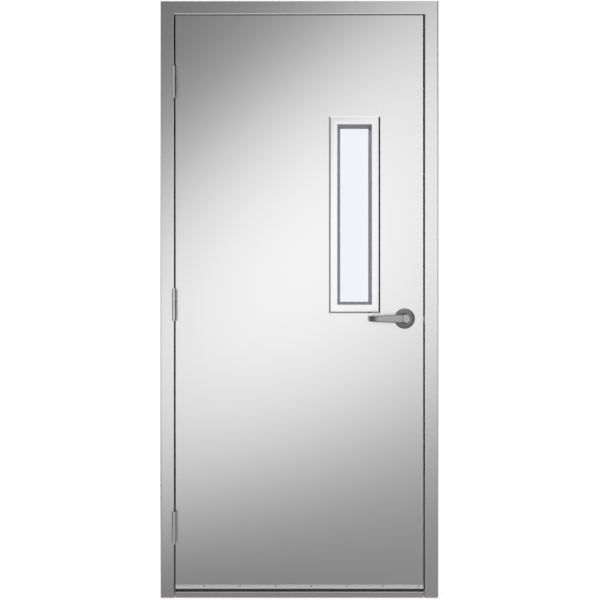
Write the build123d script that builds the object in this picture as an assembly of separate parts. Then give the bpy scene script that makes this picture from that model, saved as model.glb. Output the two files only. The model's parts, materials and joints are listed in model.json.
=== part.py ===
"""Stainless steel hollow-metal door hung in its double-rabbet frame, in millimetres.

X runs to the right as seen from the pull side, Y runs into the wall and Z runs up.
The origin lies on the floor, midway between the jambs and midway through the frame.
"""

from build123d import *
import os

# Frame
OPENING_WIDTH = 914.4
OPENING_HEIGHT = 2133.6
FACE = 50.8
FRAME_DEPTH = 146.05
FRONT_RABBET = 49.2
SOFFIT = 57.15
STOP = 15.9
WALL_RETURN = 12.7
FRAME_SHEET = 1.9
INSIDE_BEND = 1.5

# Floor clips in the jambs' feet
CLIP_WIDTH = 42.0
CLIP_HALF_DEPTH = 50.0
CLIP_HEIGHT = 60.0
CLIP_SHEET = 3.0
FLOOR_HOLE_X = 484.0
FLOOR_HOLE_Y = 30.0
FLOOR_HOLE = 5.2

# Wall anchors behind the jambs
HINGE_ANCHORS = (450.0, 1240.0, 1680.0)
STRIKE_ANCHORS = (420.0, 1210.0, 1650.0)
ANCHOR_HEIGHT = 38.0
ANCHOR_SHEET = 1.5
ANCHOR_BEND = 2.5
ANCHOR_WEB_X = 476.0
ANCHOR_TIP_X = 503.0
ANCHOR_SPREAD = 70.0
ANCHOR_HOLE = 3.2

# Rubber bumpers on the strike side's stop
SILENCER_HEIGHTS = (300.0, 1240.0, 1900.0)
SILENCER_HEAD = 5.0
SILENCER_PROUD = 4.4
SILENCER_EDGE = 1.6
SILENCER_STEM = 2.5
SILENCER_HOLE = 2.55
SILENCER_BULB = 3.4
SILENCER_BULB_LENGTH = 4.0

# Door leaf
EDGE_GAP = 3.2
DOOR_THICK = 44.45
DOOR_BOTTOM = 34.7
SKIN = 1.5
SKIN_BEND = 1.0
EDGE_BEVEL = 1 / 16
CHANNEL_LEG = 35.0
CHANNEL_BEND = 2.5
CHANNEL_END_ROOM = 1.2

# Stiffeners between the skins
STIFFENER_SHEET = 0.9
STIFFENER_FLANGE = 20.0
STIFFENER_PITCH = 152.4
STIFFENER_END_ROOM = 3.0
STIFFENER_LITE_ROOM = 28.0
STIFFENER_LOCK_ROOM = 70.0

# Sill under the door
SILL_HEIGHT = 28.6
SILL_SHEET = 2.5
SILL_BEVEL_RISE = 5.8
SILL_BEVEL_RUN = 9.0
SILL_SETBACK = 1.0
SILL_END_GAP = 3.5
SILL_STOP_GAP = 1.5
SILL_BENDS = [3.0, 3.4, 3.4, 3.0]
BRACKET_SHELF = 34.0
BRACKET_SHEET = 2.5
BRACKET_FRONT_ROOM = 16.0
BRACKET_BACK_ROOM = 6.0
BRACKET_FOOT = 2.0

# Door sweep
SWEEP_TOP = 49.2
SWEEP_STEP = 41.6
SWEEP_END = 35.4
SWEEP_LIP_END = 29.4
SWEEP_LIP_GRIP = 4.4
SWEEP_LIP_FRONT = 3.4
SWEEP_LIP_BACK = 1.8
SWEEP_INSET = 1.5
SWEEP_FLANGE = 2.2
SWEEP_RIB = 5.2
SWEEP_ROUND = 1.2
SWEEP_SCREWS = 7
SWEEP_SCREW_PITCH = 130.4
SWEEP_FIRST_SCREW = -348.0
SWEEP_SCREW_RISE = 0.4

# Vision lite
LITE_X = 201.5
LITE_Z = 1402.0
GLASS_WIDTH = 101.6
GLASS_HEIGHT = 635.0
LITE_FLANGE = 30.9
LITE_REVEAL = 12.1
LITE_PROUD = 3.5
LITE_SHEET = 1.2
LITE_FOOT = 7.5
LITE_BENDS = [1.5, 1.8, 1.6]
LITE_CUT_MARGIN = 3.1
LITE_CHANNEL_LEG = 20.0
LITE_SCREW_INSET = 14.0
LITE_SCREW_SPREAD = 250.0
GLASS_DEPTH = 22.0
GLASS_THICK = 6.35
GLASS_GRIP = 7.2
GASKET = 1.2
GASKET_OUTER = 6.8
GASKET_INNER = 1.2

# Hinges
HINGE_HEIGHTS = {"top": 1883.0, "middle": 1072.5, "bottom": 262.0}
HINGE_LENGTH = 114.3
LEAF_REACH = 57.15
LEAF_THICK = 3.4
LEAF_ROOM = 0.25
PIN_STANDOFF = 19.05
PIN_RADIUS = 3.95
PIN_CLEARANCE = 0.05
PIN_BUTTON_RADIUS = 6.0
PIN_BUTTON_HEIGHT = 1.6
BEARING = 3.2
KNUCKLES = 5
BEARING_KNUCKLES = (2, 4)
KNUCKLE_GAP = 0.3
KNUCKLE_ROOM = 0.4
HINGE_PLATE = 4.8
HINGE_PLATE_LENGTH = 250.0

# Lock bore, spindle and through bolts
LOCK_Z = 1022.0
BACKSET = 69.85
LOCK_BORE_RADIUS = 27.0
EDGE_BORE_RADIUS = 12.8
EDGE_BORE_START = 30.0
CHASSIS_RADIUS = 26.5
CHASSIS_HALF = 15.0
TAIL_SLOT_HALF = 4.5
NECK_RADIUS = 12.0
NECK_REACH = 6.0
NECK_ROOM = 0.3
SPINDLE_RADIUS = 9.0
SPINDLE_REACH = 25.0
THROUGH_BOLT_RISE = 23.0
THROUGH_BOLT_RADIUS = 2.25
THROUGH_BOLT_HOLE = 2.4
THROUGH_BOLT_HEAD_RADIUS = 3.4
THROUGH_BOLT_HEAD = 2.4

# Roses and levers
MOUNT_PLATE_RADIUS = 33.5
MOUNT_PLATE_THICK = 2.0
ROSE_RADIUS = 37.3
ROSE_HEIGHT = 9.8
ROSE_SHELL = 2.2
ROSE_FALL = 0.4
ROSE_SLOPE_RUN = 8.0
ROSE_SLOPE_ROUND = 5.0
ROSE_RIM_DROP = 6.0
ROSE_RIM_ROUND = 2.5
HUB_RADIUS = 18.9
HUB_ROOM = 0.5
HUB_FRONT = 62.0
HUB_FOOT = 2.6
HUB_SHOULDER = 13.0
HUB_SHOULDER_ROUND = 3.0
HUB_WAIST_RADIUS = 15.6
HUB_WAIST_LOW = 24.0
HUB_WAIST_HIGH = 44.0
HUB_WAIST_ROUND = 9.0
HUB_NOSE_RADIUS = 16.6
HUB_NOSE_LOW = 52.0
HUB_NOSE_ROUND = 2.4
ARM_LENGTH = 132.0
ARM_ROOT_HEIGHT = 28.6
ARM_SHOULDER = 30.0
ARM_SHOULDER_HEIGHT = 28.0
ARM_TIP_HEIGHT = 19.0
ARM_SETBACK = 1.0
ARM_THICK = 10.5
ARM_BEND_RADIUS = 38.0
ARM_RETURN_GAP = 14.0
ARM_EDGE_ROUND = 3.2
NECK_SOCKET_END = 7.5
SPINDLE_SOCKET_END = 25.0

# Key cylinder
CYLINDER_RADIUS = 11.0
CYLINDER_START = 35.25
CYLINDER_END = 63.75
CYLINDER_EDGE = 1.6
PLUG_RADIUS = 6.35
PLUG_SEAT = 37.0
PLUG_START = 38.5
PLUG_END = 63.5
KEYWAY_START = 46.0
KEYWAY_X = (-1.1, 1.1)
KEYWAY_Y = (-3.6, 4.8)
WARD_X = (0.1, 1.7)
WARD_Y = (-2.0, -0.4)

# Latch and strike
LATCH_THROW = 12.7
BOLT_WIDTH = 12.5
BOLT_HEIGHT = 17.0
BOLT_LENGTH = 22.5
BOLT_NOSE = 3.0
BOLT_BEVEL = 11.0
BOLT_TAIL_RADIUS = 3.0
BOLT_TAIL_START = 28.0
TUBE_RADIUS = 12.5
TUBE_BORE = 11.0
TUBE_END_ROOM = 3.4
FACEPLATE_WIDTH = 28.6
FACEPLATE_LENGTH = 57.15
FACEPLATE_CORNER = 3.0
FACEPLATE_THICK = 2.4
FACEPLATE_ROOM = 0.15
FACEPLATE_BOLT_ROOM = 0.4
LOCK_BOX_HALF = 62.0
LOCK_BOX_SHEET = 2.0
LOCK_EDGE_PLATE = 4.5
LOCK_BOX_EDGE_ROOM = 4.0
STRIKE_LENGTH = 123.8
STRIKE_WIDTH = 31.75
STRIKE_THICK = 2.4
STRIKE_ROOM = 0.2
STRIKE_LIP_HALF = 22.0
STRIKE_LIP_ROUND = 2.0
STRIKE_BOLT_ROOM = 1.8
STRIKE_BACKING = 5.3
STRIKE_BACKING_MARGIN = 12.0
DUST_BOX_ROOM = 2.6
DUST_BOX_WALL = 1.2
DUST_BOX_DEPTH = 11.0

# Screws
HINGE_SCREW = {"head_radius": 5.3, "shank_radius": 2.7, "head_depth": 2.4, "length": 10.0}
HINGE_SCREW_SPOTS = [(11.0, 41.0), (11.0, -41.0), (24.0, 16.0), (24.0, -16.0)]
STRIKE_SCREW = {"head_radius": 4.8, "shank_radius": 2.6, "head_depth": 2.0, "length": 11.0}
STRIKE_SCREW_RISE = 52.4
FACEPLATE_SCREW = {"head_radius": 3.6, "shank_radius": 2.0, "head_depth": 1.6, "length": 9.0}
FACEPLATE_SCREW_RISE = 20.5
LITE_SCREW = {"head_radius": 4.0, "shank_radius": 2.0, "head_height": 1.8, "length": 11.0}
SWEEP_SCREW = {"head_radius": 3.2, "shank_radius": 1.8, "head_height": 1.6, "length": 9.0}
SCREW_CLEARANCE = 0.05

# Worked out from the sizes above
HALF_OPENING = OPENING_WIDTH / 2
FRAME_FRONT = -FRAME_DEPTH / 2
STOP_FRONT = FRAME_FRONT + FRONT_RABBET
STOP_BACK = STOP_FRONT + SOFFIT
DOOR_FRONT = FRAME_FRONT
DOOR_BACK = DOOR_FRONT + DOOR_THICK
DOOR_MIDDLE = (DOOR_FRONT + DOOR_BACK) / 2
DOOR_TOP = OPENING_HEIGHT - EDGE_GAP
HINGE_EDGE = -HALF_OPENING + EDGE_GAP
LOCK_EDGE_FRONT = HALF_OPENING - EDGE_GAP
LOCK_EDGE = LOCK_EDGE_FRONT - EDGE_BEVEL * DOOR_THICK / 2
LOCK_EDGE_BACK = LOCK_EDGE_FRONT - EDGE_BEVEL * DOOR_THICK
PIN_X = -HALF_OPENING + EDGE_GAP / 2
PIN_Y = DOOR_FRONT - PIN_STANDOFF
LEAF_END = PIN_Y + LEAF_REACH
BORE_RADIUS = PIN_RADIUS + PIN_CLEARANCE
BARREL_RADIUS = BORE_RADIUS + LEAF_THICK
LITE_HALF_WIDTH = GLASS_WIDTH / 2 + LITE_REVEAL + LITE_FLANGE
LITE_HALF_HEIGHT = GLASS_HEIGHT / 2 + LITE_REVEAL + LITE_FLANGE
LOCK_X = LOCK_EDGE_FRONT - BACKSET
SWEEP_X = (HINGE_EDGE + SWEEP_INSET, LOCK_EDGE_FRONT - SWEEP_INSET)
LOCK_EDGE_PLANE = Plane(
    origin=(LOCK_EDGE, DOOR_MIDDLE, LOCK_Z),
    x_dir=(-EDGE_BEVEL, 1, 0),
    z_dir=(1, EDGE_BEVEL, 0),
)
AXIS_TURN = {"x": Rot(0, 90, 0), "y": Rot(90, 0, 0), "z": Rot(0, 0, 0)}

# How far a cutting shape runs past the face that it cuts
PAST = 1.0


def block(x, y, z):
    """A block from its lowest and highest X, Y and Z."""
    size = [high - low for low, high in (x, y, z)]
    middle = [(high + low) / 2 for low, high in (x, y, z)]
    return Pos(*middle) * Box(*size)


def rod(axis, radius, low, high, first, second):
    """A round bar along an axis from low to high, with its other two coordinates given in order."""
    middle = (low + high) / 2
    centre = {
        "x": (middle, first, second),
        "y": (first, middle, second),
        "z": (first, second, middle),
    }[axis]
    return Pos(*centre) * AXIS_TURN[axis] * Cylinder(radius, high - low)


def disc(radius, low, high):
    """A round bar on the Z axis from low to high."""
    return rod("z", radius, low, high, 0, 0)


def folded(points, radii, thickness):
    """The cross-section of a folded sheet: its face line with bends, thickened to its right."""
    face_line = FilletPolyline(*points, radius=radii)
    return make_face(offset(face_line, amount=thickness, side=Side.RIGHT, closed=True))


def mirrored(shape):
    """The same shape on the other side of the doorway's centre."""
    return mirror(shape, about=Plane.YZ)


def rounded_at(face, corner, radius):
    """A flat face with the corner nearest a point rounded."""
    return fillet(face.vertices().sort_by_distance(corner)[0], radius)


def flat_screw(head_radius, shank_radius, head_depth, length, grow=0.0):
    """A countersunk screw, flush at the origin, running down -Z, or the hole that it needs."""
    head = Cone(shank_radius + grow, head_radius + grow, head_depth)
    return Pos(0, 0, -head_depth / 2) * head + disc(shank_radius + grow, -length, -head_depth)


def pan_screw(head_radius, shank_radius, head_height, length, grow=0.0):
    """A pan-head screw standing on the origin plane, its shank down -Z, or the hole it needs."""
    head = disc(head_radius + grow, 0, head_height)
    head = chamfer(head.edges().sort_by(Axis.Z)[-1], head_height / 2)
    return head + disc(shank_radius + grow, -length, 0)


def frame_section():
    """The frame's folded section: first outward from the opening's edge, then back from its face."""
    points = [
        (FACE, WALL_RETURN),
        (FACE, 0),
        (0, 0),
        (0, FRONT_RABBET),
        (-STOP, FRONT_RABBET),
        (-STOP, FRONT_RABBET + SOFFIT),
        (0, FRONT_RABBET + SOFFIT),
        (0, FRAME_DEPTH),
        (FACE, FRAME_DEPTH),
        (FACE, FRAME_DEPTH - WALL_RETURN),
    ]
    convex = INSIDE_BEND + FRAME_SHEET
    concave = INSIDE_BEND
    radii = [convex, convex, concave, convex, convex, concave, convex, convex]
    return folded(points, radii, FRAME_SHEET)


def mitre(side):
    """The 45 degree plane through a top corner of the opening, facing the head."""
    return Plane(origin=(side * HALF_OPENING, 0, OPENING_HEIGHT), z_dir=(-side, 0, 1))


def jamb_blank():
    """The right-hand jamb before its cut-outs, mitred at the top."""
    plane = Plane(origin=(HALF_OPENING, FRAME_FRONT, 0), x_dir=(1, 0, 0), z_dir=(0, 0, 1))
    bar = extrude(plane * frame_section(), amount=OPENING_HEIGHT + FACE)
    return split(bar, bisect_by=mitre(1), keep=Keep.BOTTOM)


def frame_head():
    """The head member, mitred at both ends."""
    plane = Plane(origin=(0, FRAME_FRONT, OPENING_HEIGHT), x_dir=(0, 0, 1), z_dir=(-1, 0, 0))
    bar = extrude(plane * frame_section(), amount=HALF_OPENING + FACE, both=True)
    for side in (-1, 1):
        bar = split(bar, bisect_by=mitre(side), keep=Keep.TOP)
    return bar


def leaf_recess(height, x):
    """The space that a hinge leaf takes out of the sheet it is let into, over the given X."""
    half = HINGE_LENGTH / 2 + LEAF_ROOM
    return block(x, (FRAME_FRONT - PAST, LEAF_END + LEAF_ROOM), (height - half, height + half))


def frame_recess(height):
    """The recess of a frame leaf in the hinge jamb."""
    return leaf_recess(height, (-HALF_OPENING - LEAF_THICK, -HALF_OPENING + PAST))


def door_recess(height):
    """The recess of a door leaf in the door's hinge edge."""
    return leaf_recess(height, (HINGE_EDGE - PAST, HINGE_EDGE + LEAF_THICK))


def screw_places(side, height):
    """The planes of one leaf's screws on the frame side (-1) or the door side (1), facing out."""
    face_x = -HALF_OPENING if side < 0 else HINGE_EDGE
    return [
        Plane(origin=(face_x, LEAF_END - back, height + up), z_dir=(-side, 0, 0))
        for back, up in HINGE_SCREW_SPOTS
    ]


def hinge_screws(side, grow=0.0):
    """Every hinge screw of the frame (side -1) or the door (side 1), or their holes."""
    places = [place for height in HINGE_HEIGHTS.values() for place in screw_places(side, height)]
    return [place * flat_screw(**HINGE_SCREW, grow=grow) for place in places]


def hinge_jamb():
    """The left jamb with its three hinge recesses."""
    recesses = [frame_recess(height) for height in HINGE_HEIGHTS.values()]
    return mirrored(jamb_blank()) - recesses


def hinge_plates(inner_x, side, front, back, recess):
    """The tapped plates behind the leaves, each with a pocket that its leaf sits in."""
    thick = HINGE_PLATE + LEAF_THICK - (FRAME_SHEET if side < 0 else SKIN)
    x = sorted((inner_x, inner_x + side * thick))
    half = HINGE_PLATE_LENGTH / 2
    holes = hinge_screws(side, SCREW_CLEARANCE)
    plates = []
    for height in HINGE_HEIGHTS.values():
        plate = block(x, (front, back), (height - half, height + half)) - recess(height)
        plates.append(plate - holes)
    return plates


def rabbet_inside():
    """The flat stretch behind the front rabbet, between its two bends, in Y."""
    return (FRAME_FRONT + FRAME_SHEET + INSIDE_BEND, STOP_FRONT - INSIDE_BEND - FRAME_SHEET)


def frame_hinge_plates():
    """Hinge reinforcements welded behind the hinge jamb's rabbet."""
    front, back = rabbet_inside()
    return hinge_plates(-HALF_OPENING - FRAME_SHEET, -1, front, back, frame_recess)


def door_hinge_plates():
    """Hinge reinforcements welded inside the door's hinge edge."""
    front = DOOR_FRONT + SKIN + SKIN_BEND
    back = DOOR_BACK - SKIN - SKIN_BEND
    return hinge_plates(HINGE_EDGE + SKIN, 1, front, back, door_recess)


def strike_opening(room, depth_from, depth_to):
    """A block round the latch bolt's path in the jamb, larger than the bolt by the room given."""
    y = BOLT_WIDTH / 2 + room
    z = BOLT_HEIGHT / 2 + room
    return block(
        (HALF_OPENING + depth_from, HALF_OPENING + depth_to),
        (DOOR_MIDDLE - y, DOOR_MIDDLE + y),
        (LOCK_Z - z, LOCK_Z + z),
    )


def strike_outline(grow=0.0):
    """The strike plate's outline: a long plate and a wider lip out to the frame's face."""
    half = STRIKE_LENGTH / 2 + grow
    width = STRIKE_WIDTH / 2 + grow
    lip = STRIKE_LIP_HALF + grow
    x = (HALF_OPENING, HALF_OPENING + STRIKE_THICK)
    plate = block(x, (DOOR_MIDDLE - width, DOOR_MIDDLE + width), (LOCK_Z - half, LOCK_Z + half))
    tongue = block(x, (FRAME_FRONT, DOOR_MIDDLE), (LOCK_Z - lip, LOCK_Z + lip))
    return plate + tongue


def strike_screws(grow=0.0):
    """The strike's two countersunk screws, or their holes."""
    screws = []
    for up in (-STRIKE_SCREW_RISE, STRIKE_SCREW_RISE):
        place = Plane(origin=(HALF_OPENING, DOOR_MIDDLE, LOCK_Z + up), z_dir=(-1, 0, 0))
        screws.append(place * flat_screw(**STRIKE_SCREW, grow=grow))
    return screws


def silencers():
    """Rubber bumpers: a head on the stop and a stem through it with a small bulb."""
    x = HALF_OPENING - STOP / 2
    stem_end = STOP_FRONT + FRAME_SHEET
    bumpers = []
    for height in SILENCER_HEIGHTS:
        head = rod("y", SILENCER_HEAD, STOP_FRONT - SILENCER_PROUD, STOP_FRONT, x, height)
        head = chamfer(head.edges().sort_by(Axis.Y)[0], SILENCER_EDGE)
        stem = rod("y", SILENCER_STEM, STOP_FRONT, stem_end, x, height)
        bulb = rod("y", SILENCER_BULB, stem_end, stem_end + SILENCER_BULB_LENGTH, x, height)
        bumpers.append(head + stem + bulb)
    return bumpers


def strike_jamb():
    """The right jamb with the strike cut-out and the silencer holes."""
    bar = jamb_blank() - strike_outline(STRIKE_ROOM)
    x = HALF_OPENING - STOP / 2
    for height in SILENCER_HEIGHTS:
        bar -= rod("y", SILENCER_HOLE, STOP_FRONT - PAST, STOP_FRONT + FRAME_SHEET + PAST, x, height)
    return bar


def strike_plate():
    """The flat strike with its lip, its bolt hole and its screw holes."""
    plate = strike_outline()
    lip_edge = plate.edges().filter_by(Axis.Z).group_by(Axis.Y)[0].sort_by(Axis.X)[0]
    plate = fillet(lip_edge, STRIKE_LIP_ROUND)
    plate -= strike_opening(STRIKE_BOLT_ROOM, -PAST, STRIKE_THICK + PAST)
    return plate - strike_screws(SCREW_CLEARANCE)


def strike_reinforcement():
    """The tapped plate behind the strike, welded inside the rabbet."""
    x0 = HALF_OPENING + FRAME_SHEET
    half = STRIKE_LENGTH / 2 + STRIKE_BACKING_MARGIN
    plate = block((x0, x0 + STRIKE_BACKING), rabbet_inside(), (LOCK_Z - half, LOCK_Z + half))
    plate -= strike_outline(STRIKE_ROOM)
    plate -= strike_opening(DUST_BOX_ROOM, 0, FRAME_SHEET + STRIKE_BACKING + PAST)
    return plate - strike_screws(SCREW_CLEARANCE)


def dust_box():
    """The folded box that keeps mortar off the latch bolt."""
    start = FRAME_SHEET + STRIKE_BACKING
    end = start + DUST_BOX_DEPTH
    outside = strike_opening(DUST_BOX_ROOM + DUST_BOX_WALL, start, end)
    return outside - strike_opening(DUST_BOX_ROOM, start - PAST, end - DUST_BOX_WALL)


def sill():
    """The folded sill with bevelled long edges, notched round the stops of both jambs."""
    front = FRAME_FRONT + SILL_SETBACK
    back = -front
    shoulder = SILL_HEIGHT - SILL_BEVEL_RISE
    points = [
        (front, 0),
        (front, shoulder),
        (front + SILL_BEVEL_RUN, SILL_HEIGHT),
        (back - SILL_BEVEL_RUN, SILL_HEIGHT),
        (back, shoulder),
        (back, 0),
    ]
    plane = Plane(origin=(0, 0, 0), x_dir=(0, 1, 0), z_dir=(1, 0, 0))
    section = plane * folded(points, SILL_BENDS, SILL_SHEET)
    bar = extrude(section, amount=HALF_OPENING - SILL_END_GAP, both=True)
    notch = block(
        (HALF_OPENING - STOP - SILL_STOP_GAP, HALF_OPENING),
        (STOP_FRONT - SILL_STOP_GAP, STOP_BACK + SILL_STOP_GAP),
        (-PAST, SILL_HEIGHT + PAST),
    )
    return bar - [notch, mirrored(notch)]


def sill_brackets():
    """Angles under the sill's ends that hold it to the front rabbets."""
    top = SILL_HEIGHT - SILL_SHEET
    y = (FRAME_FRONT + BRACKET_FRONT_ROOM, STOP_FRONT - BRACKET_BACK_ROOM)
    shelf = block((HALF_OPENING - BRACKET_SHELF, HALF_OPENING), y, (top - BRACKET_SHEET, top))
    leg = block((HALF_OPENING - BRACKET_SHEET, HALF_OPENING), y, (BRACKET_FOOT, top))
    bracket = shelf + leg
    return [bracket, mirrored(bracket)]


def floor_anchors():
    """Angle clips welded inside the jambs' feet, each with two holes for floor bolts."""
    inside = HALF_OPENING + FRAME_SHEET
    y = (-CLIP_HALF_DEPTH, CLIP_HALF_DEPTH)
    base = block((inside, inside + CLIP_WIDTH), y, (0, CLIP_SHEET))
    upright = block((inside, inside + CLIP_SHEET), y, (0, CLIP_HEIGHT))
    clip = base + upright
    for hole_y in (-FLOOR_HOLE_Y, FLOOR_HOLE_Y):
        clip -= rod("z", FLOOR_HOLE, -PAST, CLIP_SHEET + PAST, FLOOR_HOLE_X, hole_y)
    return [clip, mirrored(clip)]


def jamb_anchors():
    """Folded wall anchors held behind the jambs' returns, three to a jamb."""
    reach = FRAME_DEPTH / 2 - FRAME_SHEET
    points = [
        (ANCHOR_TIP_X, -reach),
        (ANCHOR_WEB_X, -reach),
        (ANCHOR_WEB_X, reach),
        (ANCHOR_TIP_X, reach),
    ]
    section = folded(points, [ANCHOR_BEND, ANCHOR_BEND], ANCHOR_SHEET)
    anchor = extrude(section, amount=ANCHOR_HEIGHT)
    x = (ANCHOR_WEB_X - PAST, ANCHOR_WEB_X + ANCHOR_SHEET + PAST)
    for y in (-ANCHOR_SPREAD / 2, ANCHOR_SPREAD / 2):
        anchor -= rod("x", ANCHOR_HOLE, *x, y, ANCHOR_HEIGHT / 2)
    strike_side = [Pos(0, 0, low) * anchor for low in STRIKE_ANCHORS]
    hinge_side = [Pos(0, 0, low) * mirrored(anchor) for low in HINGE_ANCHORS]
    return strike_side + hinge_side


def knuckle_span(index):
    """The lowest and highest Z of one knuckle, counted from the top of the hinge."""
    pitch = HINGE_LENGTH / KNUCKLES
    high = HINGE_LENGTH / 2 - index * pitch
    low = high - pitch
    if index > 0:
        high -= KNUCKLE_GAP / 2
    if index < KNUCKLES - 1:
        low += KNUCKLE_GAP / 2
    return low, high


def hinge_leaf(side):
    """One leaf at height 0: three knuckles on the frame side (-1), two on the door side (1)."""
    own = range(0, KNUCKLES, 2) if side < 0 else range(1, KNUCKLES, 2)
    other = [index for index in range(KNUCKLES) if index not in own]
    near = EDGE_GAP / 2
    x = sorted((PIN_X + side * near, PIN_X + side * (near + LEAF_THICK)))
    half = HINGE_LENGTH / 2
    leaf = block(x, (PIN_Y, LEAF_END), (-half, half))
    clear = BARREL_RADIUS + KNUCKLE_ROOM
    for index in other:
        low, high = knuckle_span(index)
        leaf -= rod("z", clear, low - KNUCKLE_GAP, high + KNUCKLE_GAP, PIN_X, PIN_Y)
    for index in own:
        low, high = knuckle_span(index)
        if index in BEARING_KNUCKLES:
            leaf -= rod("z", clear, high - BEARING, high, PIN_X, PIN_Y)
            high -= BEARING
        leaf += rod("z", BARREL_RADIUS, low, high, PIN_X, PIN_Y)
    leaf -= rod("z", BORE_RADIUS, -half - PAST, half + PAST, PIN_X, PIN_Y)
    hole = flat_screw(**HINGE_SCREW, grow=SCREW_CLEARANCE)
    return leaf - [place * hole for place in screw_places(side, 0)]


def hinge_bearings():
    """Bearing rings under the door's knuckles, two to a hinge."""
    rings = []
    for height in HINGE_HEIGHTS.values():
        for index in BEARING_KNUCKLES:
            high = knuckle_span(index)[1]
            low = high - BEARING
            ring = rod("z", BARREL_RADIUS, low, high, PIN_X, PIN_Y)
            ring -= rod("z", BORE_RADIUS, low - PAST, high + PAST, PIN_X, PIN_Y)
            rings.append(Pos(0, 0, height) * ring)
    return rings


def hinge_pin(height):
    """A hinge pin with a flat button at each end."""
    half = HINGE_LENGTH / 2
    end = half + PIN_BUTTON_HEIGHT
    pin = rod("z", PIN_RADIUS, -end, end, PIN_X, PIN_Y)
    for low in (-end, half):
        pin += rod("z", PIN_BUTTON_RADIUS, low, low + PIN_BUTTON_HEIGHT, PIN_X, PIN_Y)
    return Pos(0, 0, height) * pin


def lite_block(half_width, half_height, near, far):
    """A block centred on the lite, between two depths behind the door's pull face."""
    x = (LITE_X - half_width, LITE_X + half_width)
    z = (LITE_Z - half_height, LITE_Z + half_height)
    return block(x, (DOOR_FRONT + near, DOOR_FRONT + far), z)


def round_glass(margin, near, far):
    """A block as large as the glass seen through the lite, with a margin all round."""
    return lite_block(GLASS_WIDTH / 2 + margin, GLASS_HEIGHT / 2 + margin, near, far)


def lite_hole(room, near, far):
    """The block of the door's cut-out, made larger all round by the room given."""
    return round_glass(LITE_REVEAL + LITE_CUT_MARGIN + room, near, far)


def lite_mitre(i, j, across):
    """The mitre plane at one corner of the lite frame, facing the level (or the upright) member."""
    corner = (LITE_X + i * LITE_HALF_WIDTH, 0, LITE_Z + j * LITE_HALF_HEIGHT)
    normal = (-i, 0, j) if across else (i, 0, -j)
    return Plane(origin=corner, z_dir=normal)


def lite_frame(reach):
    """A lite frame on the pull face, folded from one section and mitred round the cut-out."""
    inward = LITE_FLANGE + LITE_REVEAL
    points = [
        (inward - LITE_FOOT, reach),
        (inward, reach),
        (LITE_FLANGE, -LITE_PROUD),
        (LITE_PROUD, -LITE_PROUD),
        (0, 0),
    ]
    section = folded(points, LITE_BENDS, LITE_SHEET)
    foot = (LITE_X, DOOR_FRONT, LITE_Z - LITE_HALF_HEIGHT)
    left = (LITE_X - LITE_HALF_WIDTH, DOOR_FRONT, LITE_Z)
    level = Plane(origin=foot, x_dir=(0, 0, 1), z_dir=(-1, 0, 0)) * section
    level = extrude(level, amount=LITE_HALF_WIDTH, both=True)
    upright = Plane(origin=left, x_dir=(1, 0, 0), z_dir=(0, 0, 1)) * section
    upright = extrude(upright, amount=LITE_HALF_HEIGHT, both=True)
    for side in (-1, 1):
        level = split(level, bisect_by=lite_mitre(side, -1, True), keep=Keep.TOP)
        upright = split(upright, bisect_by=lite_mitre(-1, side, False), keep=Keep.TOP)
    top = mirror(level, about=Plane.XY.offset(LITE_Z))
    right = mirror(upright, about=Plane.YZ.offset(LITE_X))
    below_face = lite_block(LITE_HALF_WIDTH + PAST, LITE_HALF_HEIGHT + PAST, 0, 2 * LITE_SHEET)
    below_face -= lite_hole(0, -PAST, DOOR_THICK)
    return level + upright + top + right - below_face


def lite_screws(grow=0.0):
    """The pan-head screws on the push side, or their holes."""
    side = GLASS_WIDTH / 2 + LITE_REVEAL + LITE_SCREW_INSET
    end = GLASS_HEIGHT / 2 + LITE_REVEAL + LITE_SCREW_INSET
    spots = [(i * side, j * LITE_SCREW_SPREAD) for i in (-1, 1) for j in (-1, 0, 1)]
    spots += [(0, -end), (0, end)]
    screws = []
    for dx, dz in spots:
        y = DOOR_BACK + LITE_PROUD
        place = Plane(origin=(LITE_X + dx, y, LITE_Z + dz), z_dir=(0, 1, 0))
        screws.append(place * pan_screw(**LITE_SCREW, grow=grow))
    return screws


def lite_back_frame():
    """The push-side lite frame, turned round the door's middle plane."""
    back_reach = DOOR_THICK - GLASS_DEPTH - GLASS_THICK - GASKET
    ring = mirror(lite_frame(back_reach), about=Plane.XZ.offset(-DOOR_MIDDLE))
    return ring - lite_screws(SCREW_CLEARANCE)


def lite_channel():
    """The channel that closes the cut-out between the skins."""
    ring = lite_hole(LITE_CHANNEL_LEG, SKIN, DOOR_THICK - SKIN) - lite_hole(0, 0, DOOR_THICK)
    hollow = lite_hole(LITE_CHANNEL_LEG + PAST, 2 * SKIN, DOOR_THICK - 2 * SKIN)
    hollow -= lite_hole(SKIN, 0, DOOR_THICK)
    return ring - hollow - lite_screws(SCREW_CLEARANCE)


def glass_pane():
    """The safety glass pane."""
    return round_glass(GLASS_GRIP, GLASS_DEPTH, GLASS_DEPTH + GLASS_THICK)


def glazing_gaskets():
    """The rubber tapes on both faces of the pane."""
    rings = []
    for near in (GLASS_DEPTH - GASKET, GLASS_DEPTH + GLASS_THICK):
        far = near + GASKET
        outer = round_glass(GASKET_OUTER, near, far)
        rings.append(outer - round_glass(GASKET_INNER, near - PAST, far + PAST))
    return rings


def lock_bore():
    """The through bore for the lock, with the latch bore in the edge."""
    through = rod("y", LOCK_BORE_RADIUS, DOOR_FRONT - PAST, DOOR_BACK + PAST, LOCK_X, LOCK_Z)
    edge = rod("x", EDGE_BORE_RADIUS, LOCK_X + EDGE_BORE_START, HALF_OPENING, DOOR_MIDDLE, LOCK_Z)
    return [through, edge]


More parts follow.
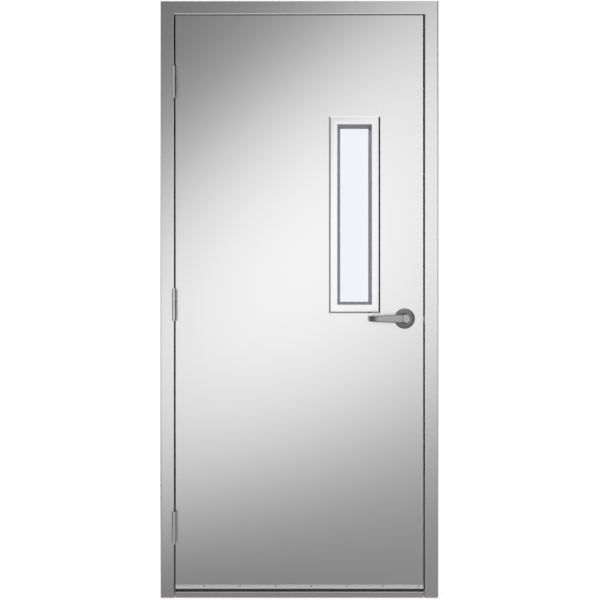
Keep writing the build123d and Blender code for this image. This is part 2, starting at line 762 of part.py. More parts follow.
def faceplate_outline(grow=0.0, above=0.0):
    """The latch face plate's body, set into the bevelled lock edge, or the recess for it."""
    width = FACEPLATE_WIDTH + 2 * grow
    length = FACEPLATE_LENGTH + 2 * grow
    outline = RectangleRounded(width, length, FACEPLATE_CORNER + grow)
    body = extrude(outline, amount=FACEPLATE_THICK + above)
    return LOCK_EDGE_PLANE * Pos(0, 0, -FACEPLATE_THICK) * body


def door_skin(points):
    """A door skin extruded to the door's height from the line of its face and edges."""
    bend = SKIN + SKIN_BEND
    skin = extrude(folded(points, [bend, bend], SKIN), amount=DOOR_TOP - DOOR_BOTTOM)
    skin = Pos(0, 0, DOOR_BOTTOM) * skin
    cuts = [door_recess(height) for height in HINGE_HEIGHTS.values()]
    cuts += lock_bore()
    cuts.append(faceplate_outline(FACEPLATE_ROOM, PAST))
    cuts.append(lite_hole(0, -PAST, DOOR_THICK + PAST))
    return skin - cuts


def front_skin():
    """The pull-side skin with half of each long edge."""
    points = [
        (LOCK_EDGE, DOOR_MIDDLE),
        (LOCK_EDGE_FRONT, DOOR_FRONT),
        (HINGE_EDGE, DOOR_FRONT),
        (HINGE_EDGE, DOOR_MIDDLE),
    ]
    return door_skin(points) - sweep_screws(SCREW_CLEARANCE)


def back_skin():
    """The push-side skin with the other half of each long edge."""
    points = [
        (HINGE_EDGE, DOOR_MIDDLE),
        (HINGE_EDGE, DOOR_BACK),
        (LOCK_EDGE_BACK, DOOR_BACK),
        (LOCK_EDGE, DOOR_MIDDLE),
    ]
    return door_skin(points) - lite_screws(SCREW_CLEARANCE)


def end_channel(flush, leg):
    """A channel between the skins: its web flush at one height and its legs reaching to another."""
    margin = SKIN + CHANNEL_END_ROOM
    points = [
        (DOOR_FRONT + SKIN, leg),
        (DOOR_FRONT + SKIN, flush),
        (DOOR_BACK - SKIN, flush),
        (DOOR_BACK - SKIN, leg),
    ]
    if leg > flush:
        points.reverse()
    plane = Plane(origin=(HINGE_EDGE + margin, 0, 0), x_dir=(0, 1, 0), z_dir=(1, 0, 0))
    length = LOCK_EDGE_BACK - HINGE_EDGE - 2 * margin
    return extrude(plane * folded(points, [CHANNEL_BEND, CHANNEL_BEND], SKIN), amount=length)


def top_channel():
    """The channel that closes the door's top."""
    return end_channel(DOOR_TOP, DOOR_TOP - CHANNEL_LEG)


def bottom_channel():
    """The channel that closes the door's foot and takes the sweep's screws."""
    channel = end_channel(DOOR_BOTTOM, DOOR_BOTTOM + CHANNEL_LEG)
    return channel - sweep_screws(SCREW_CLEARANCE)


def stiffener(x, low, high):
    """One Z-shaped stiffener between the skins."""
    front = DOOR_FRONT + SKIN
    back = DOOR_BACK - SKIN
    half = STIFFENER_SHEET / 2
    z = (low, high)
    web = block((x - half, x + half), (front, back), z)
    near = block((x - half, x + STIFFENER_FLANGE), (front, front + STIFFENER_SHEET), z)
    far = block((x - STIFFENER_FLANGE, x + half), (back - STIFFENER_SHEET, back), z)
    return web + near + far


def core_stiffeners():
    """Vertical stiffeners, stopped short of the lite and of the lock box."""
    low = DOOR_BOTTOM + CHANNEL_LEG + STIFFENER_END_ROOM
    high = DOOR_TOP - CHANNEL_LEG - STIFFENER_END_ROOM
    lite_room = GLASS_HEIGHT / 2 + LITE_REVEAL + STIFFENER_LITE_ROOM
    runs = [stiffener(step * STIFFENER_PITCH, low, high) for step in (-2.5, -1.5, -0.5, 0.5)]
    for step, middle, room in ((1.5, LITE_Z, lite_room), (2.5, LOCK_Z, STIFFENER_LOCK_ROOM)):
        runs.append(stiffener(step * STIFFENER_PITCH, low, middle - room))
        runs.append(stiffener(step * STIFFENER_PITCH, middle + room, high))
    return runs


def lock_box():
    """The reinforcement round the lock: a folded channel closed by a thick edge plate."""
    x = (LOCK_X - LOCK_BOX_HALF, LOCK_EDGE - LOCK_BOX_EDGE_ROOM)
    y = (DOOR_FRONT + SKIN, DOOR_BACK - SKIN)
    z = (LOCK_Z - LOCK_BOX_HALF, LOCK_Z + LOCK_BOX_HALF)
    hollow = block(
        (x[0] + LOCK_BOX_SHEET, x[1] + PAST),
        (y[0] + LOCK_BOX_SHEET, y[1] - LOCK_BOX_SHEET),
        (z[0] - PAST, z[1] + PAST),
    )
    channel = block(x, y, z) - hollow
    outline = Rectangle(DOOR_THICK - 2 * SKIN - 2 * SKIN_BEND, 2 * LOCK_BOX_HALF)
    plate = extrude(outline, amount=LOCK_EDGE_PLATE)
    box = channel + LOCK_EDGE_PLANE * Pos(0, 0, -SKIN - LOCK_EDGE_PLATE) * plate
    box -= lock_bore()
    box -= faceplate_outline(FACEPLATE_ROOM, PAST)
    return box - faceplate_screws(SCREW_CLEARANCE)


def faceplate_screws(grow=0.0):
    """The latch face plate's two screws, or their holes."""
    screw = flat_screw(**FACEPLATE_SCREW, grow=grow)
    rises = (-FACEPLATE_SCREW_RISE, FACEPLATE_SCREW_RISE)
    return [LOCK_EDGE_PLANE * Pos(0, up, 0) * screw for up in rises]


def latch_faceplate():
    """The plate in the lock edge that the bolt comes out of."""
    y = BOLT_WIDTH / 2 + FACEPLATE_BOLT_ROOM
    z = BOLT_HEIGHT / 2 + FACEPLATE_BOLT_ROOM
    hole = block(
        (LOCK_X, HALF_OPENING),
        (DOOR_MIDDLE - y, DOOR_MIDDLE + y),
        (LOCK_Z - z, LOCK_Z + z),
    )
    return faceplate_outline() - hole - faceplate_screws(SCREW_CLEARANCE)


def latch_tube():
    """The tube that guides the bolt."""
    start = LOCK_X + CHASSIS_RADIUS + NECK_ROOM
    end = LOCK_EDGE - TUBE_END_ROOM
    tube = rod("x", TUBE_RADIUS, start, end, DOOR_MIDDLE, LOCK_Z)
    return tube - rod("x", TUBE_BORE, start - PAST, end + PAST, DOOR_MIDDLE, LOCK_Z)


def latch_bolt():
    """The spring latch: flat towards the pull side, bevelled towards the push side, with a tail."""
    tip = LOCK_EDGE + LATCH_THROW
    root = LOCK_EDGE - BOLT_LENGTH
    near = DOOR_MIDDLE - BOLT_WIDTH / 2
    far = DOOR_MIDDLE + BOLT_WIDTH / 2
    outline = [(root, near), (tip, near), (tip, near + BOLT_NOSE), (tip - BOLT_BEVEL, far), (root, far)]
    face = make_face(Polyline(*outline, close=True))
    bolt = Pos(0, 0, LOCK_Z - BOLT_HEIGHT / 2) * extrude(face, amount=BOLT_HEIGHT)
    tail = rod("x", BOLT_TAIL_RADIUS, LOCK_X + BOLT_TAIL_START, root, DOOR_MIDDLE, LOCK_Z)
    return bolt + tail


def lock_chassis():
    """The drum in the bore, with a neck out of each side and a slot for the latch's tail."""
    drum = rod("y", CHASSIS_RADIUS, DOOR_MIDDLE - CHASSIS_HALF, DOOR_MIDDLE + CHASSIS_HALF, LOCK_X, LOCK_Z)
    ends = (DOOR_FRONT - NECK_REACH, DOOR_BACK + NECK_REACH)
    drum += rod("y", NECK_RADIUS, *ends, LOCK_X, LOCK_Z)
    drum -= rod("y", SPINDLE_RADIUS + PIN_CLEARANCE, ends[0] - PAST, ends[1] + PAST, LOCK_X, LOCK_Z)
    drum -= block(
        (LOCK_X + NECK_RADIUS, LOCK_X + CHASSIS_RADIUS + PAST),
        (DOOR_MIDDLE - TAIL_SLOT_HALF, DOOR_MIDDLE + TAIL_SLOT_HALF),
        (LOCK_Z - TAIL_SLOT_HALF, LOCK_Z + TAIL_SLOT_HALF),
    )
    for up in (-THROUGH_BOLT_RISE, THROUGH_BOLT_RISE):
        drum -= rod("y", THROUGH_BOLT_HOLE, DOOR_FRONT, DOOR_BACK, LOCK_X, LOCK_Z + up)
    return drum


def through_bolts():
    """The bolts that clamp both mounting plates on the door."""
    front = DOOR_FRONT - MOUNT_PLATE_THICK
    back = DOOR_BACK + MOUNT_PLATE_THICK
    bolts = []
    for z in (LOCK_Z - THROUGH_BOLT_RISE, LOCK_Z + THROUGH_BOLT_RISE):
        shank = rod("y", THROUGH_BOLT_RADIUS, front, back, LOCK_X, z)
        near = rod("y", THROUGH_BOLT_HEAD_RADIUS, front - THROUGH_BOLT_HEAD, front, LOCK_X, z)
        far = rod("y", THROUGH_BOLT_HEAD_RADIUS, back, back + THROUGH_BOLT_HEAD, LOCK_X, z)
        bolts.append(shank + near + far)
    return bolts


def lock_axis_plane(side):
    """A plane on the lock's axis at a door face: Z points away from the door (side -1 is pull)."""
    face = DOOR_FRONT if side < 0 else DOOR_BACK
    return Plane(origin=(LOCK_X, face, LOCK_Z), x_dir=(1, 0, 0), z_dir=(0, side, 0))


def mount_plate(side):
    """The round plate under a rose that the through bolts clamp."""
    plate = disc(MOUNT_PLATE_RADIUS, 0, MOUNT_PLATE_THICK)
    plate -= disc(NECK_RADIUS + NECK_ROOM, -PAST, MOUNT_PLATE_THICK + PAST)
    hole = disc(THROUGH_BOLT_HOLE, -PAST, MOUNT_PLATE_THICK + PAST)
    plate -= [Pos(0, up, 0) * hole for up in (-THROUGH_BOLT_RISE, THROUGH_BOLT_RISE)]
    return lock_axis_plane(side) * plate


def rose(side):
    """A round domed rose, a shell that covers the mounting plate."""
    hole = HUB_RADIUS + HUB_ROOM
    slope = ROSE_RADIUS - ROSE_SLOPE_RUN
    rim = ROSE_HEIGHT - ROSE_RIM_DROP
    outline = [
        (hole, ROSE_HEIGHT - ROSE_SHELL),
        (hole, ROSE_HEIGHT),
        (slope, ROSE_HEIGHT - ROSE_FALL),
        (ROSE_RADIUS, rim),
        (ROSE_RADIUS, 0),
        (ROSE_RADIUS - ROSE_SHELL, 0),
        (ROSE_RADIUS - ROSE_SHELL, rim - ROSE_SHELL / 2),
        (slope - ROSE_SHELL / 2, ROSE_HEIGHT - ROSE_FALL - ROSE_SHELL),
    ]
    face = make_face(Polyline(*outline, close=True))
    face = rounded_at(face, (slope, ROSE_HEIGHT), ROSE_SLOPE_ROUND)
    face = rounded_at(face, (ROSE_RADIUS, rim), ROSE_RIM_ROUND)
    return lock_axis_plane(side) * revolve(Plane.XZ * face, Axis.Z)


def lever_hub():
    """The lever's turned hub, standing on Z with its foot just off the mounting plate."""
    outline = [
        (0, HUB_FOOT),
        (HUB_RADIUS, HUB_FOOT),
        (HUB_RADIUS, HUB_SHOULDER),
        (HUB_WAIST_RADIUS, HUB_WAIST_LOW),
        (HUB_WAIST_RADIUS, HUB_WAIST_HIGH),
        (HUB_NOSE_RADIUS, HUB_NOSE_LOW),
        (HUB_NOSE_RADIUS, HUB_FRONT),
        (0, HUB_FRONT),
    ]
    face = make_face(Polyline(*outline, close=True))
    face = rounded_at(face, (HUB_WAIST_RADIUS, HUB_WAIST_LOW), HUB_WAIST_ROUND)
    face = rounded_at(face, (HUB_RADIUS, HUB_SHOULDER), HUB_SHOULDER_ROUND)
    face = rounded_at(face, (HUB_NOSE_RADIUS, HUB_FRONT), HUB_NOSE_ROUND)
    return revolve(Plane.XZ * face, Axis.Z)


def arm_side_view(front):
    """The arm seen from above: straight, then a quarter turn back to the door."""
    bend_x = ARM_BEND_RADIUS - ARM_LENGTH
    bend_z = front - ARM_BEND_RADIUS
    back_x = ARM_THICK - ARM_LENGTH
    outer_start = (bend_x, front)
    outer_end = (-ARM_LENGTH, bend_z)
    inner_start = (back_x, bend_z)
    inner_end = (bend_x, front - ARM_THICK)
    return make_face(
        [
            Line((0, front), outer_start),
            RadiusArc(outer_start, outer_end, -ARM_BEND_RADIUS),
            Polyline(outer_end, (-ARM_LENGTH, ARM_RETURN_GAP), (back_x, ARM_RETURN_GAP), inner_start),
            RadiusArc(inner_start, inner_end, ARM_BEND_RADIUS - ARM_THICK),
            Polyline(inner_end, (0, front - ARM_THICK), (0, front)),
        ]
    )


def arm_front_view():
    """The arm seen from the front: nearly level at its root, tapering to its end."""
    upper = [
        (0, ARM_ROOT_HEIGHT / 2),
        (-ARM_SHOULDER, ARM_SHOULDER_HEIGHT / 2),
        (-ARM_LENGTH - PAST, ARM_TIP_HEIGHT / 2),
    ]
    lower = [(x, -height) for x, height in reversed(upper)]
    return make_face(Polyline(*upper, *lower, close=True))


def lever_arm():
    """The tapered arm along -X that bends back to the door at its end, standing on Z."""
    body = extrude(Plane.XZ * arm_side_view(HUB_FRONT - ARM_SETBACK), amount=ARM_ROOT_HEIGHT, both=True)
    arm = body & extrude(arm_front_view(), amount=HUB_FRONT + PAST)
    long_edges = arm.edges().filter_by(lambda edge: edge.length > 20 and edge.center().X < -5)
    return fillet(long_edges, ARM_EDGE_ROUND)


def lever(side):
    """A lever handle: its hub, its arm and the sockets for the lock's neck and the spindle."""
    handle = lever_hub() + lever_arm()
    handle -= disc(NECK_RADIUS + HUB_ROOM, 0, NECK_SOCKET_END)
    handle -= disc(SPINDLE_RADIUS, NECK_SOCKET_END - PAST, SPINDLE_SOCKET_END)
    if side < 0:
        handle -= disc(CYLINDER_RADIUS, CYLINDER_START, HUB_FRONT + PAST)
        return lock_axis_plane(side) * handle
    on_pull_face = lock_axis_plane(-1) * handle
    return mirror(on_pull_face, about=Plane.XZ.offset(-DOOR_MIDDLE))


def spindle():
    """The spindle that joins both levers."""
    ends = (DOOR_FRONT - SPINDLE_REACH, DOOR_BACK + SPINDLE_REACH)
    return rod("y", SPINDLE_RADIUS, *ends, LOCK_X, LOCK_Z)


def key_cylinder():
    """The lock cylinder in the outside lever, bored for its plug."""
    body = disc(CYLINDER_RADIUS, CYLINDER_START, CYLINDER_END)
    body = chamfer(body.edges().sort_by(Axis.Z)[-1], CYLINDER_EDGE)
    body -= disc(PLUG_RADIUS + PIN_CLEARANCE, PLUG_SEAT, CYLINDER_END + PAST)
    return lock_axis_plane(-1) * body


def key_plug():
    """The turning plug with its keyway."""
    plug = disc(PLUG_RADIUS, PLUG_START, PLUG_END)
    z = (KEYWAY_START, PLUG_END + PAST)
    keyway = block(KEYWAY_X, KEYWAY_Y, z)
    ward = block(WARD_X, WARD_Y, z)
    return lock_axis_plane(-1) * (plug - [keyway, ward])


def sweep_carrier():
    """The sweep's extruded carrier: a flange for screws over a rib with a slot for the lip."""
    flange = block(SWEEP_X, (DOOR_FRONT - SWEEP_FLANGE, DOOR_FRONT), (SWEEP_STEP - SWEEP_ROUND, SWEEP_TOP))
    rib = block(SWEEP_X, (DOOR_FRONT - SWEEP_RIB, DOOR_FRONT), (SWEEP_END, SWEEP_STEP))
    front_edges = rib.edges().filter_by(Axis.X).group_by(Axis.Y)[0]
    rib = fillet(front_edges, SWEEP_ROUND)
    slot = block(
        (-HALF_OPENING, HALF_OPENING),
        (DOOR_FRONT - SWEEP_LIP_FRONT, DOOR_FRONT - SWEEP_LIP_BACK),
        (0, SWEEP_END + SWEEP_LIP_GRIP),
    )
    return rib + flange - slot - sweep_screws(SCREW_CLEARANCE)


def sweep_lip():
    """The rubber lip that hangs from the carrier to just above the sill."""
    y = (DOOR_FRONT - SWEEP_LIP_FRONT, DOOR_FRONT - SWEEP_LIP_BACK)
    return block(SWEEP_X, y, (SWEEP_LIP_END, SWEEP_END + SWEEP_LIP_GRIP))


def sweep_screws(grow=0.0):
    """The pan-head screws of the sweep, or their holes."""
    height = (SWEEP_STEP + SWEEP_TOP) / 2 + SWEEP_SCREW_RISE
    screws = []
    for index in range(SWEEP_SCREWS):
        x = SWEEP_FIRST_SCREW + index * SWEEP_SCREW_PITCH
        place = Plane(origin=(x, DOOR_FRONT - SWEEP_FLANGE, height), z_dir=(0, -1, 0))
        screws.append(place * pan_screw(**SWEEP_SCREW, grow=grow))
    return screws


def nodes():
    """Every node's name and shape."""
    named = {
        "hinge_jamb": hinge_jamb(),
        "strike_jamb": strike_jamb(),
        "frame_head": frame_head(),
        "sill": sill(),
        "sill_brackets": sill_brackets(),
        "floor_anchors": floor_anchors(),
        "jamb_anchors": jamb_anchors(),
        "frame_hinge_plates": frame_hinge_plates(),
        "frame_hinge_screws": hinge_screws(-1),
        "hinge_bearings": hinge_bearings(),
        "strike_plate": strike_plate(),
        "strike_screws": strike_screws(),
        "strike_reinforcement": strike_reinforcement(),
        "dust_box": dust_box(),
        "silencers": silencers(),
        "front_skin": front_skin(),
        "back_skin": back_skin(),
        "top_channel": top_channel(),
        "bottom_channel": bottom_channel(),
        "core_stiffeners": core_stiffeners(),
        "door_hinge_plates": door_hinge_plates(),
        "door_hinge_screws": hinge_screws(1),
        "lock_box": lock_box(),
        "lite_channel": lite_channel(),
        "lite_front_frame": lite_frame(GLASS_DEPTH - GASKET),
        "lite_back_frame": lite_back_frame(),
        "lite_screws": lite_screws(),
        "glass_pane": glass_pane(),
        "glazing_gaskets": glazing_gaskets(),
        "sweep_carrier": sweep_carrier(),
        "sweep_lip": sweep_lip(),
        "sweep_screws": sweep_screws(),
        "latch_faceplate": latch_faceplate(),
        "faceplate_screws": faceplate_screws(),
        "latch_tube": latch_tube(),
        "latch_bolt": latch_bolt(),
        "lock_chassis": lock_chassis(),
        "through_bolts": through_bolts(),
        "outside_mount_plate": mount_plate(-1),
        "inside_mount_plate": mount_plate(1),
        "outside_rose": rose(-1),
        "inside_rose": rose(1),
        "outside_lever": lever(-1),
        "inside_lever": lever(1),
        "spindle": spindle(),
        "key_cylinder": key_cylinder(),
        "key_plug": key_plug(),
    }
    frame_leaf = hinge_leaf(-1)
    door_leaf = hinge_leaf(1)
    for place, height in HINGE_HEIGHTS.items():
        named[f"frame_leaf_{place}"] = Pos(0, 0, height) * frame_leaf
        named[f"door_leaf_{place}"] = Pos(0, 0, height) * door_leaf
        named[f"hinge_pin_{place}"] = hinge_pin(height)
    return named


def main():
    """Write one STEP file for each node."""
    os.makedirs("parts", exist_ok=True)
    for name, shape in nodes().items():
        if isinstance(shape, list):
            shape = Compound(shape)
        export_step(shape, f"parts/{name}.step")


main()
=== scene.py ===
"""A stainless steel hollow-metal door in its frame: its finishes, its fine pieces and the studio.

Lengths are in metres. X runs to the right from the pull side, Y into the wall and Z up.
"""

import json
import math
from collections import namedtuple

import bmesh
import bpy
from bpy.props import FloatProperty, FloatVectorProperty, PointerProperty
from mathutils import Matrix, Vector


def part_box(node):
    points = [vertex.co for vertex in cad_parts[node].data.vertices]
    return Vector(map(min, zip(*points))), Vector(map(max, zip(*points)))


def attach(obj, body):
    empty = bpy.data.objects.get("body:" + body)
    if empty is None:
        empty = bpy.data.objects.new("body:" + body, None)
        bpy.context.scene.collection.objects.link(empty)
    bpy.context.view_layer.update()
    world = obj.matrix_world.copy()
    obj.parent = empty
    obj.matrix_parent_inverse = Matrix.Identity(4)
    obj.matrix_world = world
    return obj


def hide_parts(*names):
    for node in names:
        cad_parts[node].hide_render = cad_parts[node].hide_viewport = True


bl_info = {
    "name": "Stainless Door in Its Frame",
    "version": (1, 0, 0),
    "blender": (4, 5, 0),
    "location": "3D View > Sidebar > Steel Door",
    "description": "Finishes, fine pieces and studio for a stainless steel door in its frame",
    "category": "Object",
}

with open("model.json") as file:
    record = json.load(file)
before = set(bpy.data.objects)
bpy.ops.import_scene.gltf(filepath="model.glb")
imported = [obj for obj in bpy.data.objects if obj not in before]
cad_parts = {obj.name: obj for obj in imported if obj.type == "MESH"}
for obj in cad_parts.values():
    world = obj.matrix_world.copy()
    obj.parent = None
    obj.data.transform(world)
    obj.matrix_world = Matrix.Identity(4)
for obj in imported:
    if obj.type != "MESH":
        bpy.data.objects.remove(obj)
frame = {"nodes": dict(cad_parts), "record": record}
NODES = frame["nodes"]

# Tone card: its profile in Y and Z, and where its glow fades, in metres on the door's face
CARD_PROFILE = [(-0.075, 0.0015), (-4.0, 0.0015), (-5.0, 0.3), (-5.5, 1.2), (-5.6, 9.0)]
CARD_HALF_WIDTH = 7.0
TOP_TILT = 0.66
TOP_EDGE = 1.503
TOP_SOFTNESS = 0.096
FOOT_TILT = 0.297
FOOT_EDGE = 0.56
FOOT_SOFTNESS = 0.144
FOOT_LEAN = 0.1
SIDE_FALL = 0.5

# Cards beside the door that its bends and bevels mirror, and a hood behind its glass:
# name, centre, aim, width and height, glow, colour
PLAIN = (1.0, 1.0, 1.0)
LAVENDER = (0.93, 0.9, 1.0)
SIDE_CARDS = [
    ("left_card", (-3.2, -0.95, 2.0), (0.0, -0.95, 2.0), (4.1, 4.0), 0.32, PLAIN),
    ("right_card", (3.2, -0.95, 2.0), (0.0, -0.95, 2.0), (4.1, 4.0), 0.03, PLAIN),
    ("top_card", (0.0, -1.3, 4.0), (0.0, -1.3, 0.0), (5.0, 2.4), 1.25, PLAIN),
    ("left_strip", (-2.47, -3.4, 1.3), (0.0, 0.0, 1.3), (0.8, 2.6), 1.6, PLAIN),
    ("right_strip", (2.47, -3.4, 1.3), (0.0, 0.0, 1.3), (0.8, 2.6), 1.6, PLAIN),
]
HOOD_CARDS = [
    ("hood_left", (-0.5, 0.9, 1.4), (0.2, 0.9, 1.4), (1.6, 1.8), 0.35, LAVENDER),
    ("hood_right", (0.9, 0.9, 1.4), (0.2, 0.9, 1.4), (1.6, 1.8), 0.42, LAVENDER),
    ("hood_foot", (0.2, 0.9, 0.55), (0.2, 0.9, 1.4), (1.6, 1.6), 0.25, LAVENDER),
    ("hood_top", (0.2, 0.9, 2.25), (0.2, 0.9, 1.4), (1.6, 1.6), 0.27, LAVENDER),
]


def centre_of(node):
    low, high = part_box(node)
    return (low + high) / 2


LITE_CENTRE = centre_of("lite_front_frame")
LOCK_CENTRE = centre_of("outside_rose")
FACE_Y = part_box("hinge_jamb")[0].y
FRAME_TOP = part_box("frame_head")[1].z
DOOR_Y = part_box("front_skin")[0].y
LEAF_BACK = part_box("back_skin")[1].y

# The stop's inner faces and its front, and the leaf without its bent edges: the bounds of the
# painted shade in the door gap
STOP_HALF = 0.4415
STOP_TOP = 2.118
STOP_FRONT = -0.0238
LEAF_HALF = 0.4508
LEAF_TOP = 2.129

# Bends of the frame and of the leaf beside the gap, and the margin before the next face
FRAME_BEND = 0.0018
LEAF_BEND = 0.0009
EDGE_MARGIN = 0.001

# Brush lines: the broad streaks' scale over the fine lines', and the share of each
STREAK_SCALE = 0.06
LINE_SHARE = 0.7
STREAK_SHARE = 0.3

# Bend radii of a lite frame's section from the glass outward, and the sharpest smooth bend
LITE_BENDS = (0.0015, 0.0018, 0.0016)
SMOOTH_ANGLE = math.radians(28)

# Screws: radius of head and shank, rise over the seat, sink below it, and length
ScrewSize = namedtuple("ScrewSize", "head shank rise sink length")
SWEEP_SCREW = ScrewSize(head=0.0032, shank=0.0018, rise=0.0016, sink=0.0, length=0.009)
LITE_SCREW = ScrewSize(head=0.004, shank=0.002, rise=0.0018, sink=0.0, length=0.011)
STRIKE_SCREW = ScrewSize(head=0.0048, shank=0.0026, rise=0.0, sink=0.002, length=0.011)
PLATE_SCREW = ScrewSize(head=0.0036, shank=0.002, rise=0.0, sink=0.0016, length=0.009)
HINGE_SCREW = ScrewSize(head=0.0053, shank=0.0027, rise=0.0, sink=0.0024, length=0.010)

# A pan head's profile as shares of its radius and rise, and a flat head's top and rim
PAN_HEAD = ((0.5, 1.0), (0.8, 0.88), (0.95, 0.62), (1.0, 0.3), (1.0, 0.0))
FLAT_TOP = 0.96
FLAT_RIM = 0.00015

# Plain shank before the thread, point over the shank, taper of the cross, cutter's surplus,
# and the turn from one screw to the next
PLAIN_SHANK = 0.0006
POINT_SHARE = 0.35
CROSS_TAPER = 0.55
CUT_SURPLUS = 0.001
SCREW_TURN = 0.9

# Screws of each hinge leaf: heights of the hinges, and depth and height from their middles
HINGE_HEIGHTS = (1.883, 1.0725, 0.262)
HINGE_SPOTS = ((-0.045925, 0.041), (-0.045925, -0.041), (-0.058925, 0.016), (-0.058925, -0.016))
FRAME_LEAF_X = -0.4572
DOOR_LEAF_X = -0.454

# Screws round the glass and along the sweep, and how far their seats stand off the door
LITE_SCREW_SIDE = 0.0769
LITE_SCREW_END = 0.3436
LITE_SCREW_STEP = 0.25
LITE_STAND_OFF = 0.0035
SWEEP_SCREW_COUNT = 7
SWEEP_SCREW_START = -0.348
SWEEP_SCREW_STEP = 0.1304
SWEEP_SCREW_HEIGHT = 0.0458
SWEEP_STAND_OFF = 0.0022

# Screws over and under the latch, and the slope of the door's lock edge
LATCH_DEPTH = -0.0508
STRIKE_X = 0.4572
STRIKE_SCREW_RISE = 0.0524
PLATE_X = 0.45261
PLATE_SCREW_RISE = 0.0205
LOCK_EDGE_SLOPE = 1 / 16

# Rubber lip: heights of its grooves, their depth and half width, and its rounded foot
LIP_GROOVES = (0.0346, 0.0334, 0.0322, 0.031)
GROOVE_DEPTH = 0.00025
GROOVE_HALF = 0.0003
LIP_FOOT = 0.0004

# Floor, key light, and the lens with half the height that it sees at the frame's face
FLOOR_SIZE = 16.0
FLOOR_ROUGHNESS = 0.9
FLOOR_GLOW = 1.12
FLOOR_GLOW_SHARE = 0.8
KEY_PLACE = (-2.4, -3.4, 3.2)
KEY_SIZE = 1.6
KEY_POWER = 60.0
SENSOR_WIDTH = 36.0
VIEW_HALF_HEIGHT = 1.0964


def color_property(name, description, default):
    return FloatVectorProperty(
        name=name, description=description, default=default, subtype="COLOR", min=0.0, max=1.0
    )


def length_property(name, description, default):
    return FloatProperty(name=name, description=description, default=default, unit="LENGTH")


def factor_property(name, description, default):
    return FloatProperty(
        name=name, description=description, default=default, subtype="FACTOR", min=0.0, max=1.0
    )


def level_property(name, description, default):
    return FloatProperty(name=name, description=description, default=default)


class SheetSettings(bpy.types.PropertyGroup):
    """Satin sheet steel of the frame, the sill, the door skins and the lite frames."""

    frame_color: color_property("Frame steel", "Colour of the frame sheet", (0.66, 0.66, 0.66))
    door_color: color_property("Door steel", "Colour of the door skins", (0.68, 0.68, 0.68))
    lite_color: color_property("Lite steel", "Colour of the lite frames", (0.72, 0.72, 0.73))
    roughness: factor_property("Roughness", "Gloss of the satin finish", 0.24)
    line_width: length_property("Line width", "Width of one brush line", 0.0005)
    line_length: length_property("Line length", "Length of one brush line", 0.06)
    line_depth: length_property("Line depth", "Depth of the brush lines", 0.000004)
    # Painted shade: how far the steel's colour is darkened inside the door gap, standing in for
    # the gap's shadow
    gap_shade_tone: factor_property("Gap shade tone", "Brightness of the steel inside the door gap", 0.32)
    edge_roughness: factor_property("Edge roughness", "Gloss of the steel inside the gap", 0.55)


class HardwareSettings(bpy.types.PropertyGroup):
    """Hinges, levers, cylinder, latch and screws."""

    hinge_color: color_property("Hinge steel", "Colour of the hinges", (0.68, 0.68, 0.68))
    lever_color: color_property("Lever steel", "Colour of the cast levers", (0.31, 0.31, 0.31))
    rose_color: color_property("Rose steel", "Colour of the turned roses", (0.33, 0.33, 0.33))
    nickel_color: color_property("Nickel", "Colour of the key cylinder", (0.42, 0.42, 0.415))
    latch_color: color_property("Latch steel", "Colour of the latch and strike", (0.6, 0.6, 0.6))
    screw_color: color_property("Screw steel", "Colour of the screws", (0.5, 0.5, 0.5))
    zinc_color: color_property("Zinc", "Colour of the zinc-coated steel", (0.5, 0.52, 0.54))


class TrimSettings(bpy.types.PropertyGroup):
    """Glass, gaskets, rubber and the sweep's aluminium."""

    glass_color: color_property("Glass", "Tint of the pane", (0.85, 0.88, 0.925))
    gasket_color: color_property("Gasket", "Colour of the glazing gaskets", (0.22, 0.22, 0.24))
    rubber_color: color_property("Rubber", "Colour of the sweep lip", (0.018, 0.018, 0.018))
    aluminium_color: color_property("Aluminium", "Colour of the carrier", (0.88, 0.88, 0.88))


class LiteSettings(bpy.types.PropertyGroup):
    """Section of the folded frames round the glass."""

    lite_flange: length_property("Flange", "Width of the frame on the door's face", 0.0309)
    lite_reveal: length_property("Reveal", "Width of the slope down to the glass", 0.0121)
    lite_proud: length_property("Proud", "Height over the door's face", 0.0035)
    lite_bevel: length_property("Bevel", "Width of the outer bevel", 0.0065)
    lite_sheet: length_property("Sheet", "Thickness of the sheet", 0.0012)
    lite_foot: length_property("Foot", "Width of the fold that holds the gasket", 0.0075)


class ScrewSettings(bpy.types.PropertyGroup):
    """Cross recess and thread of every screw."""

    recess_reach: factor_property("Recess reach", "Reach of the cross over the head", 0.58)
    recess_width: factor_property("Recess width", "Half the width of a slot over the head", 0.13)
    recess_depth: length_property("Recess depth", "Depth of the cross", 0.0012)
    thread_pitch: length_property("Thread pitch", "From one thread to the next", 0.0009)
    thread_depth: factor_property("Thread depth", "Depth of the thread over the shank", 0.2)


class StudioSettings(bpy.types.PropertyGroup):
    """Floor, world, tone cards and camera."""

    floor_color: color_property("Floor", "Colour of the pale floor", (0.86, 0.86, 0.86))
    camera_distance: length_property("Camera distance", "From the frame face to the lens", 3.4)
    camera_height: length_property("Camera height", "Height of the lens", 1.09)
    camera_side: length_property("Camera side", "Place of the lens along X", 0.002)
    world_level: level_property("World level", "Light of the world", 0.7)
    card_top: level_property("Card top", "Glow of the card's upper left", 0.17)
    card_foot: level_property("Card foot", "Glow of the card's foot", 0.29)
    card_band: level_property("Card band", "Glow of its bright band", 1.5)


def add_node(tree, kind, values=None, **settings):
    """A new node with its settings, and then its plain socket values."""
    node = tree.nodes.new(kind)
    for name, value in settings.items():
        setattr(node, name, value)
    for name, value in (values or {}).items():
        node.inputs[name].default_value = value
    return node


def calculate(tree, operation, first, second=0.0):
    """One math node; its two inputs are numbers or sockets."""
    node = tree.nodes.new("ShaderNodeMath")
    node.operation = operation
    for socket, value in zip(node.inputs, (first, second)):
        if isinstance(value, (int, float)):
            socket.default_value = value
        else:
            tree.links.new(value, socket)
    return node.outputs[0]


